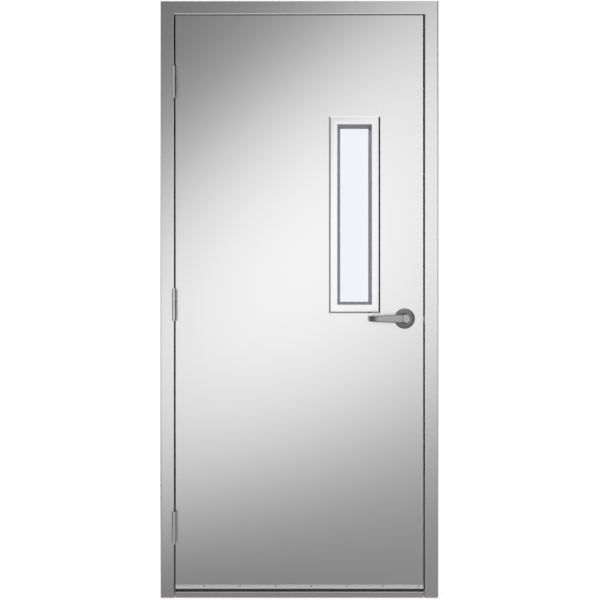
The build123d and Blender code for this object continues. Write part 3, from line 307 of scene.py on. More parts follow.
def calculate_vector(tree, operation, first, second):
    """One vector math node; its inputs are vectors or sockets."""
    node = tree.nodes.new("ShaderNodeVectorMath")
    node.operation = operation
    for socket, value in zip(node.inputs, (first, second)):
        if isinstance(value, (tuple, list, Vector)):
            socket.default_value = value
        else:
            tree.links.new(value, socket)
    return node.outputs[0]


def start_group(name, inputs, outputs):
    """A new shader group with its named sockets; gives the tree and its two ends."""
    tree = bpy.data.node_groups.new(name, "ShaderNodeTree")
    for label, kind, value in inputs:
        socket = tree.interface.new_socket(label, in_out="INPUT", socket_type=kind)
        socket.default_value = value
    for label, kind in outputs:
        tree.interface.new_socket(label, in_out="OUTPUT", socket_type=kind)
    entry = tree.nodes.new("NodeGroupInput").outputs
    result = tree.nodes.new("NodeGroupOutput").inputs
    return tree, entry, result


NUMBER = "NodeSocketFloat"
VECTOR = "NodeSocketVector"
COLOR = "NodeSocketColor"


def vary(tree, base, pattern, change):
    """base times 1 plus or minus half of change, as the pattern runs from 0 to 1."""
    centred = calculate(tree, "SUBTRACT", pattern, 0.5)
    share = calculate(tree, "MULTIPLY", centred, change)
    factor = calculate(tree, "ADD", share, 1.0)
    if base.type == "RGBA":
        return calculate_vector(tree, "MULTIPLY", base, spread(tree, factor))
    return calculate(tree, "MULTIPLY", base, factor)


def spread(tree, value):
    """One number as a vector with three equal parts."""
    node = tree.nodes.new("ShaderNodeCombineXYZ")
    for socket in node.inputs:
        tree.links.new(value, socket)
    return node.outputs[0]


def noise(tree, vector, detail):
    """Noise at scale 1 over a vector that is already scaled."""
    node = add_node(tree, "ShaderNodeTexNoise", {"Scale": 1.0, "Detail": detail})
    tree.links.new(vector, node.inputs["Vector"])
    return node.outputs["Fac"]


def object_place(tree):
    return tree.nodes.new("ShaderNodeTexCoord").outputs["Object"]


def start_effect(name, extra, tone_change, gloss_change):
    """A group that turns a pattern into colour, gloss and relief; gives its tree and ends."""
    inputs = [
        ("Color", COLOR, (0.6, 0.6, 0.6, 1.0)),
        ("Roughness", NUMBER, 0.3),
        *extra,
        ("Tone Change", NUMBER, tone_change),
        ("Gloss Change", NUMBER, gloss_change),
    ]
    return start_group(name, inputs, [("Color", COLOR), ("Roughness", NUMBER), ("Height", NUMBER)])


def end_effect(tree, entry, result, pattern, height):
    """Colour and gloss that follow the pattern, and the relief."""
    for label, change in (("Color", "Tone Change"), ("Roughness", "Gloss Change")):
        tree.links.new(vary(tree, entry[label], pattern, entry[change]), result[label])
    tree.links.new(height, result["Height"])
    return tree


def brushed_group():
    """Straight brush lines, long in one direction, with faint broad streaks."""
    scale = ("Lines per Metre", VECTOR, (2000.0, 2000.0, 20.0))
    tree, entry, result = start_effect("Brushed Lines", [scale], 0.05, 0.2)
    line_place = calculate_vector(tree, "MULTIPLY", object_place(tree), entry["Lines per Metre"])
    streak_place = calculate_vector(tree, "MULTIPLY", line_place, [STREAK_SCALE] * 3)
    lines = noise(tree, line_place, 3.0)
    streaks = noise(tree, streak_place, 2.0)
    lines_part = calculate(tree, "MULTIPLY", lines, LINE_SHARE)
    streaks_part = calculate(tree, "MULTIPLY", streaks, STREAK_SHARE)
    both = calculate(tree, "ADD", lines_part, streaks_part)
    return end_effect(tree, entry, result, both, lines)


def turned_group():
    """Fine lathe rings round an axis along Y, each a little uneven on its way round."""
    axis = ("Axis", VECTOR, (0.0, 0.0, 0.0))
    scale = ("Rings per Metre", NUMBER, 3000.0)
    tree, entry, result = start_effect("Turned Rings", [axis, scale], 0.1, 0.2)
    place = object_place(tree)
    from_axis = calculate_vector(tree, "SUBTRACT", place, entry["Axis"])
    flat = calculate_vector(tree, "MULTIPLY", from_axis, (1.0, 0.0, 1.0))
    length = add_node(tree, "ShaderNodeVectorMath", operation="LENGTH")
    tree.links.new(flat, length.inputs[0])
    radius = calculate(tree, "MULTIPLY", length.outputs["Value"], entry["Rings per Metre"])
    slow = calculate_vector(tree, "MULTIPLY", place, (30.0, 30.0, 30.0))
    rings = noise(tree, calculate_vector(tree, "ADD", spread(tree, radius), slow), 3.0)
    return end_effect(tree, entry, result, rings, rings)


def speckle_group():
    """Fine even speckle of a cast, moulded or blasted surface."""
    scale = ("Grains per Metre", NUMBER, 1500.0)
    tree, entry, result = start_effect("Fine Speckle", [scale], 0.1, 0.2)
    grain_scale = spread(tree, entry["Grains per Metre"])
    grains = noise(tree, calculate_vector(tree, "MULTIPLY", object_place(tree), grain_scale), 4.0)
    return end_effect(tree, entry, result, grains, grains)


def spangle_group():
    """Leafy crystals of hot-dip zinc."""
    scale = ("Crystals per Metre", NUMBER, 160.0)
    tree, entry, result = start_effect("Zinc Spangle", [scale], 0.4, 0.5)
    crystal_scale = spread(tree, entry["Crystals per Metre"])
    cells = add_node(tree, "ShaderNodeTexVoronoi", {"Scale": 1.0})
    scaled = calculate_vector(tree, "MULTIPLY", object_place(tree), crystal_scale)
    tree.links.new(scaled, cells.inputs["Vector"])
    split = tree.nodes.new("ShaderNodeSeparateColor")
    tree.links.new(cells.outputs["Color"], split.inputs["Color"])
    return end_effect(tree, entry, result, split.outputs["Red"], cells.outputs["Distance"])


def gap_shade_and_dull_group():
    """Painted shade where a sheet turns into the gap round the door: its colour is darkened to
    stand in for the gap's shadow, and its gloss is duller.
    """
    tree, entry, result = start_group(
        "Gap Shade and Dull Edge",
        [
            ("Color", COLOR, (0.6, 0.6, 0.6, 1.0)),
            ("Roughness", NUMBER, 0.25),
            ("Half Width", NUMBER, 0.45),
            ("Height", NUMBER, 2.1),
            ("Near", NUMBER, -0.07),
            ("Far", NUMBER, -0.02),
            ("Tone", NUMBER, 0.5),
            ("Dull Roughness", NUMBER, 0.5),
        ],
        [("Color", COLOR), ("Roughness", NUMBER)],
    )
    split = tree.nodes.new("ShaderNodeSeparateXYZ")
    tree.links.new(object_place(tree), split.inputs[0])
    width = calculate(tree, "ABSOLUTE", split.outputs["X"])
    beside = calculate(tree, "GREATER_THAN", width, entry["Half Width"])
    above = calculate(tree, "GREATER_THAN", split.outputs["Z"], entry["Height"])
    behind = calculate(tree, "GREATER_THAN", split.outputs["Y"], entry["Near"])
    before = calculate(tree, "LESS_THAN", split.outputs["Y"], entry["Far"])
    outside = calculate(tree, "MAXIMUM", beside, above)
    shade_and_dull_mask = calculate(tree, "MULTIPLY", outside, calculate(tree, "MULTIPLY", behind, before))
    # Painted shade: inside the gap the colour falls to the Tone share of itself, in place of the
    # gap's shadow
    shade_loss = calculate(tree, "MULTIPLY", shade_and_dull_mask, calculate(tree, "SUBTRACT", 1.0, entry["Tone"]))
    tone = spread(tree, calculate(tree, "SUBTRACT", 1.0, shade_loss))
    tree.links.new(calculate_vector(tree, "MULTIPLY", entry["Color"], tone), result["Color"])
    step = calculate(tree, "SUBTRACT", entry["Dull Roughness"], entry["Roughness"])
    rise = calculate(tree, "MULTIPLY", shade_and_dull_mask, step)
    tree.links.new(calculate(tree, "ADD", entry["Roughness"], rise), result["Roughness"])
    return tree


GROUP_MAKERS = {
    "Gap Shade and Dull Edge": gap_shade_and_dull_group,
    "Brushed Lines": brushed_group,
    "Turned Rings": turned_group,
    "Fine Speckle": speckle_group,
    "Zinc Spangle": spangle_group,
}


def effect_group(name):
    """The named shader group, built the first time that it is asked for."""
    return bpy.data.node_groups.get(name) or GROUP_MAKERS[name]()


def surface(name, effect, color, roughness, bump_depth, metallic=1.0, edge=None, **inputs):
    """A material whose colour, gloss and relief come from one effect group.

    With an edge, its values go to the group that paints shade on the steel inside the door gap and
    dulls its gloss.
    """
    material = bpy.data.materials.new(name)
    material.use_nodes = True
    tree = material.node_tree
    shader = tree.nodes["Principled BSDF"]
    shader.inputs["Metallic"].default_value = metallic
    texture = add_node(tree, "ShaderNodeGroup", node_tree=effect_group(effect))
    texture.inputs["Color"].default_value = (*color, 1.0)
    texture.inputs["Roughness"].default_value = roughness
    for label, value in inputs.items():
        texture.inputs[label.replace("_", " ")].default_value = value
    bump = add_node(tree, "ShaderNodeBump", {"Distance": bump_depth, "Strength": 1.0})
    tree.links.new(texture.outputs["Height"], bump.inputs["Height"])
    tree.links.new(bump.outputs["Normal"], shader.inputs["Normal"])
    last = texture
    # Painted shade on the steel inside the door gap, when an edge is given
    if edge:
        last = add_node(tree, "ShaderNodeGroup", edge, node_tree=effect_group("Gap Shade and Dull Edge"))
        tree.links.new(texture.outputs["Color"], last.inputs["Color"])
        tree.links.new(texture.outputs["Roughness"], last.inputs["Roughness"])
    tree.links.new(last.outputs["Color"], shader.inputs["Base Color"])
    tree.links.new(last.outputs["Roughness"], shader.inputs["Roughness"])
    return material


def brush_scale(settings, direction):
    """Brush lines per metre along X, Y and Z for lines that run along direction."""
    across = 1.0 / settings.line_width
    along = 1.0 / settings.line_length
    return [along if axis == direction else across for axis in "XYZ"]


def brushed_steel(name, settings, color, direction, edge=None, roughness=None):
    return surface(
        name,
        "Brushed Lines",
        color,
        roughness or settings.roughness,
        settings.line_depth,
        edge=edge,
        Lines_per_Metre=brush_scale(settings, direction),
    )


def gap_shade_and_dull(settings, half_width, height, near, far):
    """The values that paint shade on a sheet and dull its gloss outside an opening, between two
    depths.
    """
    return {
        "Half Width": half_width,
        "Height": height,
        "Near": near,
        "Far": far,
        "Tone": settings.gap_shade_tone,
        "Dull Roughness": settings.edge_roughness,
    }


def dress(nodes, material):
    """Gives every node of the list this material."""
    for node in nodes:
        slots = NODES[node].data.materials
        slots.clear()
        slots.append(material)


class SheetOperator(bpy.types.Operator):
    """Gives the frame, the sill and the door skins their satin steel, with painted shade in the
    door gap
    """

    bl_idname = "steel_door.sheets"
    bl_label = "Satin Sheets"

    def execute(self, context):
        settings = context.scene.door_sheets
        # Painted shade: the steel darkens in the gap round the rabbet and on the leaf's edges,
        # standing in for the gap's shadow
        rabbet = gap_shade_and_dull(
            settings, STOP_HALF, STOP_TOP, FACE_Y + FRAME_BEND, STOP_FRONT + EDGE_MARGIN
        )
        leaf = gap_shade_and_dull(settings, LEAF_HALF, LEAF_TOP, FACE_Y + LEAF_BEND, LEAF_BACK - EDGE_MARGIN)
        upright = brushed_steel("frame_steel_upright", settings, settings.frame_color, "Z", rabbet)
        level = brushed_steel("frame_steel_level", settings, settings.frame_color, "X", rabbet)
        door = brushed_steel("door_steel", settings, settings.door_color, "Z", leaf)
        dress(["hinge_jamb", "strike_jamb"], upright)
        dress(["frame_head", "sill"], level)
        dress(["front_skin", "back_skin"], door)
        return {"FINISHED"}


def rounded_line(points, radii, steps=5):
    """A line in the plane with each of its corners rounded."""
    line = [Vector(points[0])]
    for before, corner, after, radius in zip(points, points[1:], points[2:], radii):
        back = (Vector(before) - Vector(corner)).normalized()
        onward = (Vector(after) - Vector(corner)).normalized()
        half = back.angle(onward) / 2
        reach = radius / math.tan(half)
        centre = Vector(corner) + (back + onward).normalized() * (radius / math.sin(half))
        start = (Vector(corner) + back * reach - centre).normalized()
        end = (Vector(corner) + onward * reach - centre).normalized()
        line += [centre + start.slerp(end, k / steps) * radius for k in range(steps + 1)]
    return line + [Vector(points[-1])]


def line_beside(points, distance):
    """The line that runs at a distance to the right of a line in the plane."""
    ways = [(Vector(b) - Vector(a)).normalized() for a, b in zip(points, points[1:])]
    sides = [Vector((way.y, -way.x)) for way in ways]
    line = [Vector(points[0]) + sides[0] * distance]
    for corner, first, second in zip(points[1:-1], sides, sides[1:]):
        line.append(Vector(corner) + (first + second) * (distance / (1 + first.dot(second))))
    return line + [Vector(points[-1]) + sides[-1] * distance]


def lite_section(settings, reach):
    """The folded sheet of a lite frame: inward from its outer edge, and back from the face."""
    flange, proud = settings.lite_flange, -settings.lite_proud
    sight = flange + settings.lite_reveal
    foot = sight - settings.lite_foot
    points = [(foot, reach), (sight, reach), (flange, proud), (settings.lite_bevel, proud), (0, 0)]
    face = rounded_line(points, LITE_BENDS)
    back = rounded_line(line_beside(points, settings.lite_sheet), LITE_BENDS)
    slope = math.atan2(settings.lite_proud, settings.lite_bevel)
    back[-1] = Vector((settings.lite_sheet / math.sin(slope), 0))
    return face + back[::-1]


def mitred_ring(name, node, face_y, section):
    """A closed section swept round a rectangle as large as the node, with mitred corners."""
    low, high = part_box(node)
    side = 1 if high.y - face_y > face_y - low.y else -1
    corners = [(low.x, low.z, 1, 1), (high.x, low.z, -1, 1)]
    corners += [(high.x, high.z, -1, -1), (low.x, high.z, 1, -1)]
    places = [
        (x + across * inward, face_y + side * depth, z + up * inward)
        for inward, depth in section
        for x, z, across, up in corners
    ]
    faces = []
    for row in range(len(section)):
        after = (row + 1) % len(section)
        for k in range(4):
            m = (k + 1) % 4
            faces.append((4 * row + k, 4 * row + m, 4 * after + m, 4 * after + k))
    mesh = bpy.data.meshes.new(name)
    mesh.from_pydata(places, [], faces)
    # The foot and the head take the first material, and the two sides the second
    for face in mesh.polygons:
        face.material_index = face.index % 2
    return tidy_piece(mesh)


def add_object(name, data):
    """A new object of the scene that holds the data."""
    item = bpy.data.objects.new(name, data)
    bpy.context.scene.collection.objects.link(item)
    return item


def tidy_piece(mesh):
    """Turns a mesh's faces outward, smooths its bends and makes it an object of the scene."""
    shape = bmesh.new()
    shape.from_mesh(mesh)
    bmesh.ops.recalc_face_normals(shape, faces=shape.faces)
    shape.to_mesh(mesh)
    shape.free()
    mesh.polygons.foreach_set("use_smooth", [True] * len(mesh.polygons))
    mesh.set_sharp_from_angle(angle=SMOOTH_ANGLE)
    return add_object(mesh.name, mesh)


def stand_for(piece, node, body, slot, *materials):
    """The piece takes the node's place on its body, with these materials."""
    for material in materials:
        piece.data.materials.append(material)
    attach(piece, body)
    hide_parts(node)


class LiteOperator(bpy.types.Operator):
    """Makes the two bevelled lite frames with their grain mitred at the corners"""

    bl_idname = "steel_door.lite"
    bl_label = "Lite Frames"

    def execute(self, context):
        sheets = context.scene.door_sheets
        settings = context.scene.door_lite
        level = brushed_steel("lite_steel_level", sheets, sheets.lite_color, "X")
        upright = brushed_steel("lite_steel_upright", sheets, sheets.lite_color, "Z")
        for node, face_y in (("lite_front_frame", DOOR_Y), ("lite_back_frame", LEAF_BACK)):
            low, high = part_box(node)
            section = lite_section(settings, max(high.y - face_y, face_y - low.y))
            ring = mitred_ring(node.replace("frame", "bevel"), node, face_y, section)
            stand_for(ring, node, "door", "lite_stainless", level, upright)
        return {"FINISHED"}


class HingeOperator(bpy.types.Operator):
    """Gives the three hinges their brushed steel"""

    bl_idname = "steel_door.hinges"
    bl_label = "Hinges"

    def execute(self, context):
        settings = context.scene.door_sheets
        color = context.scene.door_hardware.hinge_color
        steel = brushed_steel("hinge_steel", settings, color, "X", roughness=0.36)
        names = [name for name in NODES if "leaf" in name or name.startswith("hinge_pin")]
        dress(names + ["hinge_bearings"], steel)
        return {"FINISHED"}


class LockOperator(bpy.types.Operator):
    """Gives the levers, roses, cylinder, latch and strike their finishes"""

    bl_idname = "steel_door.lock"
    bl_label = "Lock and Levers"

    def execute(self, context):
        sheets = context.scene.door_sheets
        settings = context.scene.door_hardware
        lever = brushed_steel("lever_steel", sheets, settings.lever_color, "X")
        rose = surface(
            "rose_steel",
            "Turned Rings",
            settings.rose_color,
            roughness=0.6,
            bump_depth=0.000004,
            Axis=LOCK_CENTRE,
        )
        nickel = surface(
            "cylinder_nickel",
            "Turned Rings",
            settings.nickel_color,
            roughness=0.25,
            bump_depth=0.000014,
            Axis=LOCK_CENTRE,
        )
        latch = brushed_steel("latch_steel", sheets, settings.latch_color, "Z")
        dress(["outside_lever", "inside_lever"], lever)
        dress(["outside_rose", "inside_rose"], rose)
        dress(["key_cylinder", "key_plug"], nickel)
        dress(["latch_faceplate", "latch_bolt", "strike_plate"], latch)
        return {"FINISHED"}


class HiddenOperator(bpy.types.Operator):
    """Gives the anchors, channels, plates and lock parts their zinc coat"""

    bl_idname = "steel_door.hidden"
    bl_label = "Zinc-Coated Parts"

    def execute(self, context):
        settings = context.scene.door_hardware
        zinc = surface(
            "zinc_steel",
            "Zinc Spangle",
            settings.zinc_color,
            roughness=0.42,
            bump_depth=0.00002,
        )
        parts = frame["record"]["subparts"]
        dress([part["node"] for part in parts if part["material_slot"] == "zinc_steel"], zinc)
        return {"FINISHED"}


def turned_mesh(name, profile, sides=28):
    """A mesh turned round Z from its profile of radius and height."""
    places = []
    for radius, height in profile:
        for k in range(sides):
            angle = 2 * math.pi * k / sides
            places.append((radius * math.cos(angle), radius * math.sin(angle), height))
    faces = []
    for row in range(len(profile) - 1):
        for k in range(sides):
            m = (k + 1) % sides
            here, below = row * sides, (row + 1) * sides
            faces.append((here + k, here + m, below + m, below + k))
    faces.append(tuple(range(sides)))
    faces.append(tuple(range((len(profile) - 1) * sides, len(profile) * sides)))
    mesh = bpy.data.meshes.new(name)
    mesh.from_pydata(places, [], faces)
    return mesh


def prism_mesh(name, first, second):
    """A closed mesh between two outlines with as many points each."""
    count = len(first)
    faces = [(k, (k + 1) % count, count + (k + 1) % count, count + k) for k in range(count)]
    faces += [tuple(range(count)), tuple(range(count, 2 * count))]
    mesh = bpy.data.meshes.new(name)
    mesh.from_pydata([*first, *second], [], faces)
    return mesh


def cross_mesh(reach, half, top, bottom):
    """A tapered cross that cuts the recess of a screw."""
    outline = []
    for quarter in range(4):
        turn = Matrix.Rotation(quarter * math.pi / 2, 2)
        outline += [turn @ Vector(spot) for spot in ((reach, -half), (reach, half), (half, half))]
    over = [(x, y, top) for x, y in outline]
    under = [(CROSS_TAPER * x, CROSS_TAPER * y, bottom) for x, y in outline]
    return prism_mesh("recess", over, under)


def cut(mesh, cutter):
    """The mesh less the cutter, as a new mesh."""
    body, tool = tidy_piece(mesh), tidy_piece(cutter)
    step = body.modifiers.new("cut", "BOOLEAN")
    step.object = tool
    step.solver = "EXACT"
    bpy.context.view_layer.update()
    result = bpy.data.meshes.new_from_object(
        body.evaluated_get(bpy.context.evaluated_depsgraph_get())
    )
    for used in (body, tool):
        bpy.data.objects.remove(used)
    return result


def screw_mesh(settings, size):
    """One screw along Z, its seat at 0: a pan head rises over it and a flat head sinks below."""
    if size.rise:
        profile = [(share * size.head, part * size.rise) for share, part in PAN_HEAD]
        profile.append((size.shank, 0.0))
    else:
        profile = [(FLAT_TOP * size.head, 0.0), (size.head, -FLAT_RIM), (size.shank, -size.sink)]
    root = (1 - settings.thread_depth) * size.shank
    height = -size.sink - PLAIN_SHANK
    while height > -size.length + size.shank:
        profile += [(size.shank, height), (root, height - settings.thread_pitch / 2)]
        height -= settings.thread_pitch
    profile.append((POINT_SHARE * size.shank, -size.length))
    cross = cross_mesh(
        settings.recess_reach * size.head,
        settings.recess_width * size.head,
        size.rise + CUT_SURPLUS,
        size.rise - settings.recess_depth,
    )
    return cut(turned_mesh("screw", profile), cross)


def screw_set(name, screw, places):
    """Copies of one screw at their places, each pointing its own way, as one piece."""
    shape = bmesh.new()
    for index, (place, way) in enumerate(places):
        before = len(shape.verts)
        shape.from_mesh(screw)
        shape.verts.ensure_lookup_table()
        turn = Vector(way).to_track_quat("Z", "Y").to_matrix().to_4x4()
        turn = Matrix.Translation(place) @ turn @ Matrix.Rotation(SCREW_TURN * index, 4, "Z")
        bmesh.ops.transform(shape, matrix=turn, verts=shape.verts[before:])
    mesh = bpy.data.meshes.new(name)
    shape.to_mesh(mesh)
    shape.free()
    return tidy_piece(mesh)


def hinge_places(x, way):
    """The four screws of each hinge leaf, on a face across X."""
    return [
        ((x, y, height + rise), (way, 0, 0))
        for height in HINGE_HEIGHTS
        for y, rise in HINGE_SPOTS
    ]


def latch_places(x, rise, way):
    """Two screws over and under the latch, on a face across X."""
    return [((x, LATCH_DEPTH, LOCK_CENTRE.z + z), way) for z in (-rise, rise)]


def lite_places():
    """The screws of the back lite frame: three at each side and one at each end."""
    spots = [(i * LITE_SCREW_SIDE, j * LITE_SCREW_STEP) for i in (-1, 1) for j in (-1, 0, 1)]
    spots += [(0, -LITE_SCREW_END), (0, LITE_SCREW_END)]
    y = LEAF_BACK + LITE_STAND_OFF
    return [((LITE_CENTRE.x + x, y, LITE_CENTRE.z + z), (0, 1, 0)) for x, z in spots]


def sweep_places():
    """The screws along the sweep."""
    xs = [SWEEP_SCREW_START + SWEEP_SCREW_STEP * k for k in range(SWEEP_SCREW_COUNT)]
    return [((x, DOOR_Y - SWEEP_STAND_OFF, SWEEP_SCREW_HEIGHT), (0, -1, 0)) for x in xs]


def screw_sets():
    """Each node of screws with its body, its screw, and where each screw sits and points."""
    strike = latch_places(STRIKE_X, STRIKE_SCREW_RISE, (-1, 0, 0))
    plate = latch_places(PLATE_X, PLATE_SCREW_RISE, (1, LOCK_EDGE_SLOPE, 0))
    return {
        "sweep_screws": ("door", SWEEP_SCREW, sweep_places()),
        "lite_screws": ("door", LITE_SCREW, lite_places()),
        "strike_screws": ("frame", STRIKE_SCREW, strike),
        "faceplate_screws": ("door", PLATE_SCREW, plate),
        "frame_hinge_screws": ("frame", HINGE_SCREW, hinge_places(FRAME_LEAF_X, 1)),
        "door_hinge_screws": ("door", HINGE_SCREW, hinge_places(DOOR_LEAF_X, -1)),
    }


class ScrewOperator(bpy.types.Operator):
    """Makes the pan-head and flat-head screws with their cross recesses and threads"""

    bl_idname = "steel_door.screws"
    bl_label = "Screws"

    def execute(self, context):
        settings = context.scene.door_hardware
        steel = surface(
            "screw_steel",
            "Fine Speckle",
            settings.screw_color,
            roughness=0.3,
            bump_depth=0.00001,
        )
        for node, (body, size, places) in screw_sets().items():
            screw = screw_mesh(context.scene.door_screws, size)
            piece = screw_set(node.replace("screws", "cross_screws"), screw, places)
            stand_for(piece, node, body, "screw_stainless", steel)
        return {"FINISHED"}


def ribbed_lip():
    """The sweep's rubber lip, with grooves along its faces and a rounded foot."""
    low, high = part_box("sweep_lip")
    front, back = [], []
    for height in LIP_GROOVES:
        for rise, depth in ((GROOVE_HALF, 0.0), (0.0, GROOVE_DEPTH), (-GROOVE_HALF, 0.0)):
            front.append((low.y + depth, height + rise))
            back.append((high.y - depth, height + rise))
    foot = [(low.y, low.z + LIP_FOOT), (low.y + LIP_FOOT, low.z)]
    foot += [(high.y - LIP_FOOT, low.z), (high.y, low.z + LIP_FOOT)]
    outline = [(high.y, high.z), (low.y, high.z), *front, *foot, *reversed(back)]
    left, right = ([(x, y, z) for y, z in outline] for x in (low.x, high.x))
    return tidy_piece(prism_mesh("ribbed_lip", left, right))


class TrimOperator(bpy.types.Operator):
    """Gives the sweep, the silencers, the gaskets and the pane their finishes"""

    bl_idname = "steel_door.trim"
    bl_label = "Sweep, Gaskets and Glass"

    def execute(self, context):
        sheets = context.scene.door_sheets
        settings = context.scene.door_trim
        aluminium = brushed_steel(
            "carrier_aluminium", sheets, settings.aluminium_color, "X", roughness=0.55
        )
        rubber = surface(
            "black_rubber",
            "Fine Speckle",
            settings.rubber_color,
            roughness=0.6,
            bump_depth=0.00003,
            metallic=0.0,
        )
        gasket = surface(
            "grey_gasket",
            "Fine Speckle",
            settings.gasket_color,
            roughness=0.7,
            bump_depth=0.00003,
            metallic=0.0,
        )
        dress(["sweep_carrier"], aluminium)
        dress(["silencers"], rubber)
        stand_for(ribbed_lip(), "sweep_lip", "door", "black_rubber", rubber)
        dress(["glazing_gaskets"], gasket)
        dress(["glass_pane"], pane_glass(settings))
        return {"FINISHED"}


def pane_glass(settings):
    """Clear glass with a pale cold tint and faint wipe marks in its gloss."""
    glass = surface(
        "clear_glass",
        "Fine Speckle",
        settings.glass_color,
        roughness=0.03,
        bump_depth=0.000001,
        metallic=0.0,
        Grains_per_Metre=12.0,
        Tone_Change=0.02,
        Gloss_Change=0.6,
    )
    shader = glass.node_tree.nodes["Principled BSDF"]
    shader.inputs["Transmission Weight"].default_value = 1.0
    shader.inputs["IOR"].default_value = 1.5
    return glass


def white_to_viewer(tree):
    """1 for camera, glossy and transmission rays, so that metal and glass show white too."""
    path = tree.nodes.new("ShaderNodeLightPath").outputs
    seen = calculate(tree, "MAXIMUM", path["Is Camera Ray"], path["Is Glossy Ray"])
    return calculate(tree, "MAXIMUM", seen, path["Is Transmission Ray"])


def white_world(level):
    world = bpy.data.worlds.new("studio_world")
    world.use_nodes = True
    tree = world.node_tree
    background = tree.nodes["Background"]
    background.inputs["Color"].default_value = (1.0, 1.0, 1.0, 1.0)
    rise = calculate(tree, "MULTIPLY", white_to_viewer(tree), 1.0 - level)
    tree.links.new(calculate(tree, "ADD", rise, level), background.inputs["Strength"])
    bpy.context.scene.world = world


def floor_material(color):
    """Pale floor that reads as white to the viewer and still takes the object's shadow."""
    material = bpy.data.materials.new("pale_floor")
    material.use_nodes = True
    tree = material.node_tree
    shader = tree.nodes["Principled BSDF"]
    shader.inputs["Base Color"].default_value = (*color, 1.0)
    shader.inputs["Roughness"].default_value = FLOOR_ROUGHNESS
    glow = add_node(tree, "ShaderNodeEmission", {"Strength": FLOOR_GLOW})
    mix = tree.nodes.new("ShaderNodeMixShader")
    share = calculate(tree, "MULTIPLY", white_to_viewer(tree), FLOOR_GLOW_SHARE)
    tree.links.new(share, mix.inputs["Fac"])
    tree.links.new(shader.outputs[0], mix.inputs[1])
    tree.links.new(glow.outputs[0], mix.inputs[2])
    tree.links.new(mix.outputs[0], tree.nodes["Material Output"].inputs["Surface"])
    return material


def soft_step(tree, value, middle, width):
    """Rises smoothly from 0 to 1 as the value passes the middle."""
    share = calculate(tree, "DIVIDE", calculate(tree, "SUBTRACT", middle, value), width)
    grown = calculate(tree, "EXPONENT", share)
    return calculate(tree, "DIVIDE", 1.0, calculate(tree, "ADD", grown, 1.0))


def glow_material(name, strength, color=PLAIN):
    """A plain glowing card; gives its material, its tree and the node that glows."""
    material = bpy.data.materials.new(name)
    material.use_nodes = True
    tree = material.node_tree
    tree.nodes.remove(tree.nodes["Principled BSDF"])
    glow = add_node(tree, "ShaderNodeEmission", {"Strength": strength, "Color": (*color, 1.0)})
    tree.links.new(glow.outputs[0], tree.nodes["Material Output"].inputs["Surface"])
    return material, tree, glow


def band_material(name, settings, side, face_y):
    """The tone card's glow: a slanted bright band between a dark upper left and a dark foot.

    Each spot of the card is carried to the spot of the door's face that mirrors it. The side
    is -1 for a card before the pull face and 1 for one behind the push face.
    """
    material, tree, glow = glow_material(name, 1.0)
    split = tree.nodes.new("ShaderNodeSeparateXYZ")
    tree.links.new(object_place(tree), split.inputs[0])
    from_face = calculate(tree, "SUBTRACT", split.outputs["Y"], face_y)
    before = calculate(tree, "MULTIPLY", from_face, side)
    away = calculate(tree, "ADD", before, settings.camera_distance)
    scale = calculate(tree, "DIVIDE", settings.camera_distance, away)
    door_x = calculate(tree, "MULTIPLY", split.outputs["X"], scale)
    above = calculate(tree, "SUBTRACT", split.outputs["Z"], settings.camera_height)
    drawn_in = calculate(tree, "MULTIPLY", above, scale)
    door_z = calculate(tree, "ADD", drawn_in, settings.camera_height)
    top = slanted(tree, door_x, door_z, TOP_TILT)
    top_shade = soft_step(tree, calculate(tree, "MULTIPLY", top, -1.0), -TOP_EDGE, TOP_SOFTNESS)
    foot = slanted(tree, door_x, door_z, FOOT_TILT)
    foot_shade = soft_step(tree, foot, FOOT_EDGE, FOOT_SOFTNESS)
    squared = calculate(tree, "MULTIPLY", door_x, door_x)
    fall = calculate(tree, "MULTIPLY", squared, -SIDE_FALL)
    bright = calculate(tree, "MULTIPLY", calculate(tree, "ADD", fall, 1.0), settings.card_band)
    lean = calculate(tree, "MULTIPLY", door_x, FOOT_LEAN)
    foot_glow = calculate(tree, "ADD", lean, settings.card_foot)
    lower = blended(tree, foot_glow, bright, foot_shade)
    tree.links.new(blended(tree, settings.card_top, lower, top_shade), glow.inputs["Strength"])
    return material


def blended(tree, first, second, share):
    """The first value where the share is 0 and the second where it is 1."""
    step = calculate(tree, "SUBTRACT", second, first)
    return calculate(tree, "ADD", calculate(tree, "MULTIPLY", step, share), first)


def slanted(tree, x, z, tilt):
    """Height measured along a direction that leans to the left by the tilt."""
    rise = calculate(tree, "MULTIPLY", z, math.cos(tilt))
    lean = calculate(tree, "MULTIPLY", x, math.sin(tilt))
    return calculate(tree, "SUBTRACT", rise, lean)


def studio_card(name, points, half_width, material):
    """A card swept along X from its profile in Y and Z; only gloss and mirrors see it."""
    mesh = bpy.data.meshes.new(name)
    places = [(side * half_width, y, z) for y, z in points for side in (-1, 1)]
    faces = [(2 * k, 2 * k + 1, 2 * k + 3, 2 * k + 2) for k in range(len(points) - 1)]
    mesh.from_pydata(places, [], faces)
    card = add_object(name, mesh)
    mesh.materials.append(material)
    gloss_only(card)


def hide_from(item, *rays):
    for ray in rays:
        setattr(item, "visible_" + ray, False)


def gloss_only(card):
    hide_from(card, "camera", "diffuse", "shadow", "transmission")


def glass_only(card):
    hide_from(card, "camera", "diffuse", "shadow", "glossy")


def studio_cards(cards, seen_by):
    """Flat glowing cards from their names, centres, aims, sizes, glows and colours."""
    for name, centre, aim, size, glow, color in cards:
        card = stage_plane(name, *size, facing(centre, aim), glow_material(name, glow, color)[0])
        seen_by(card)


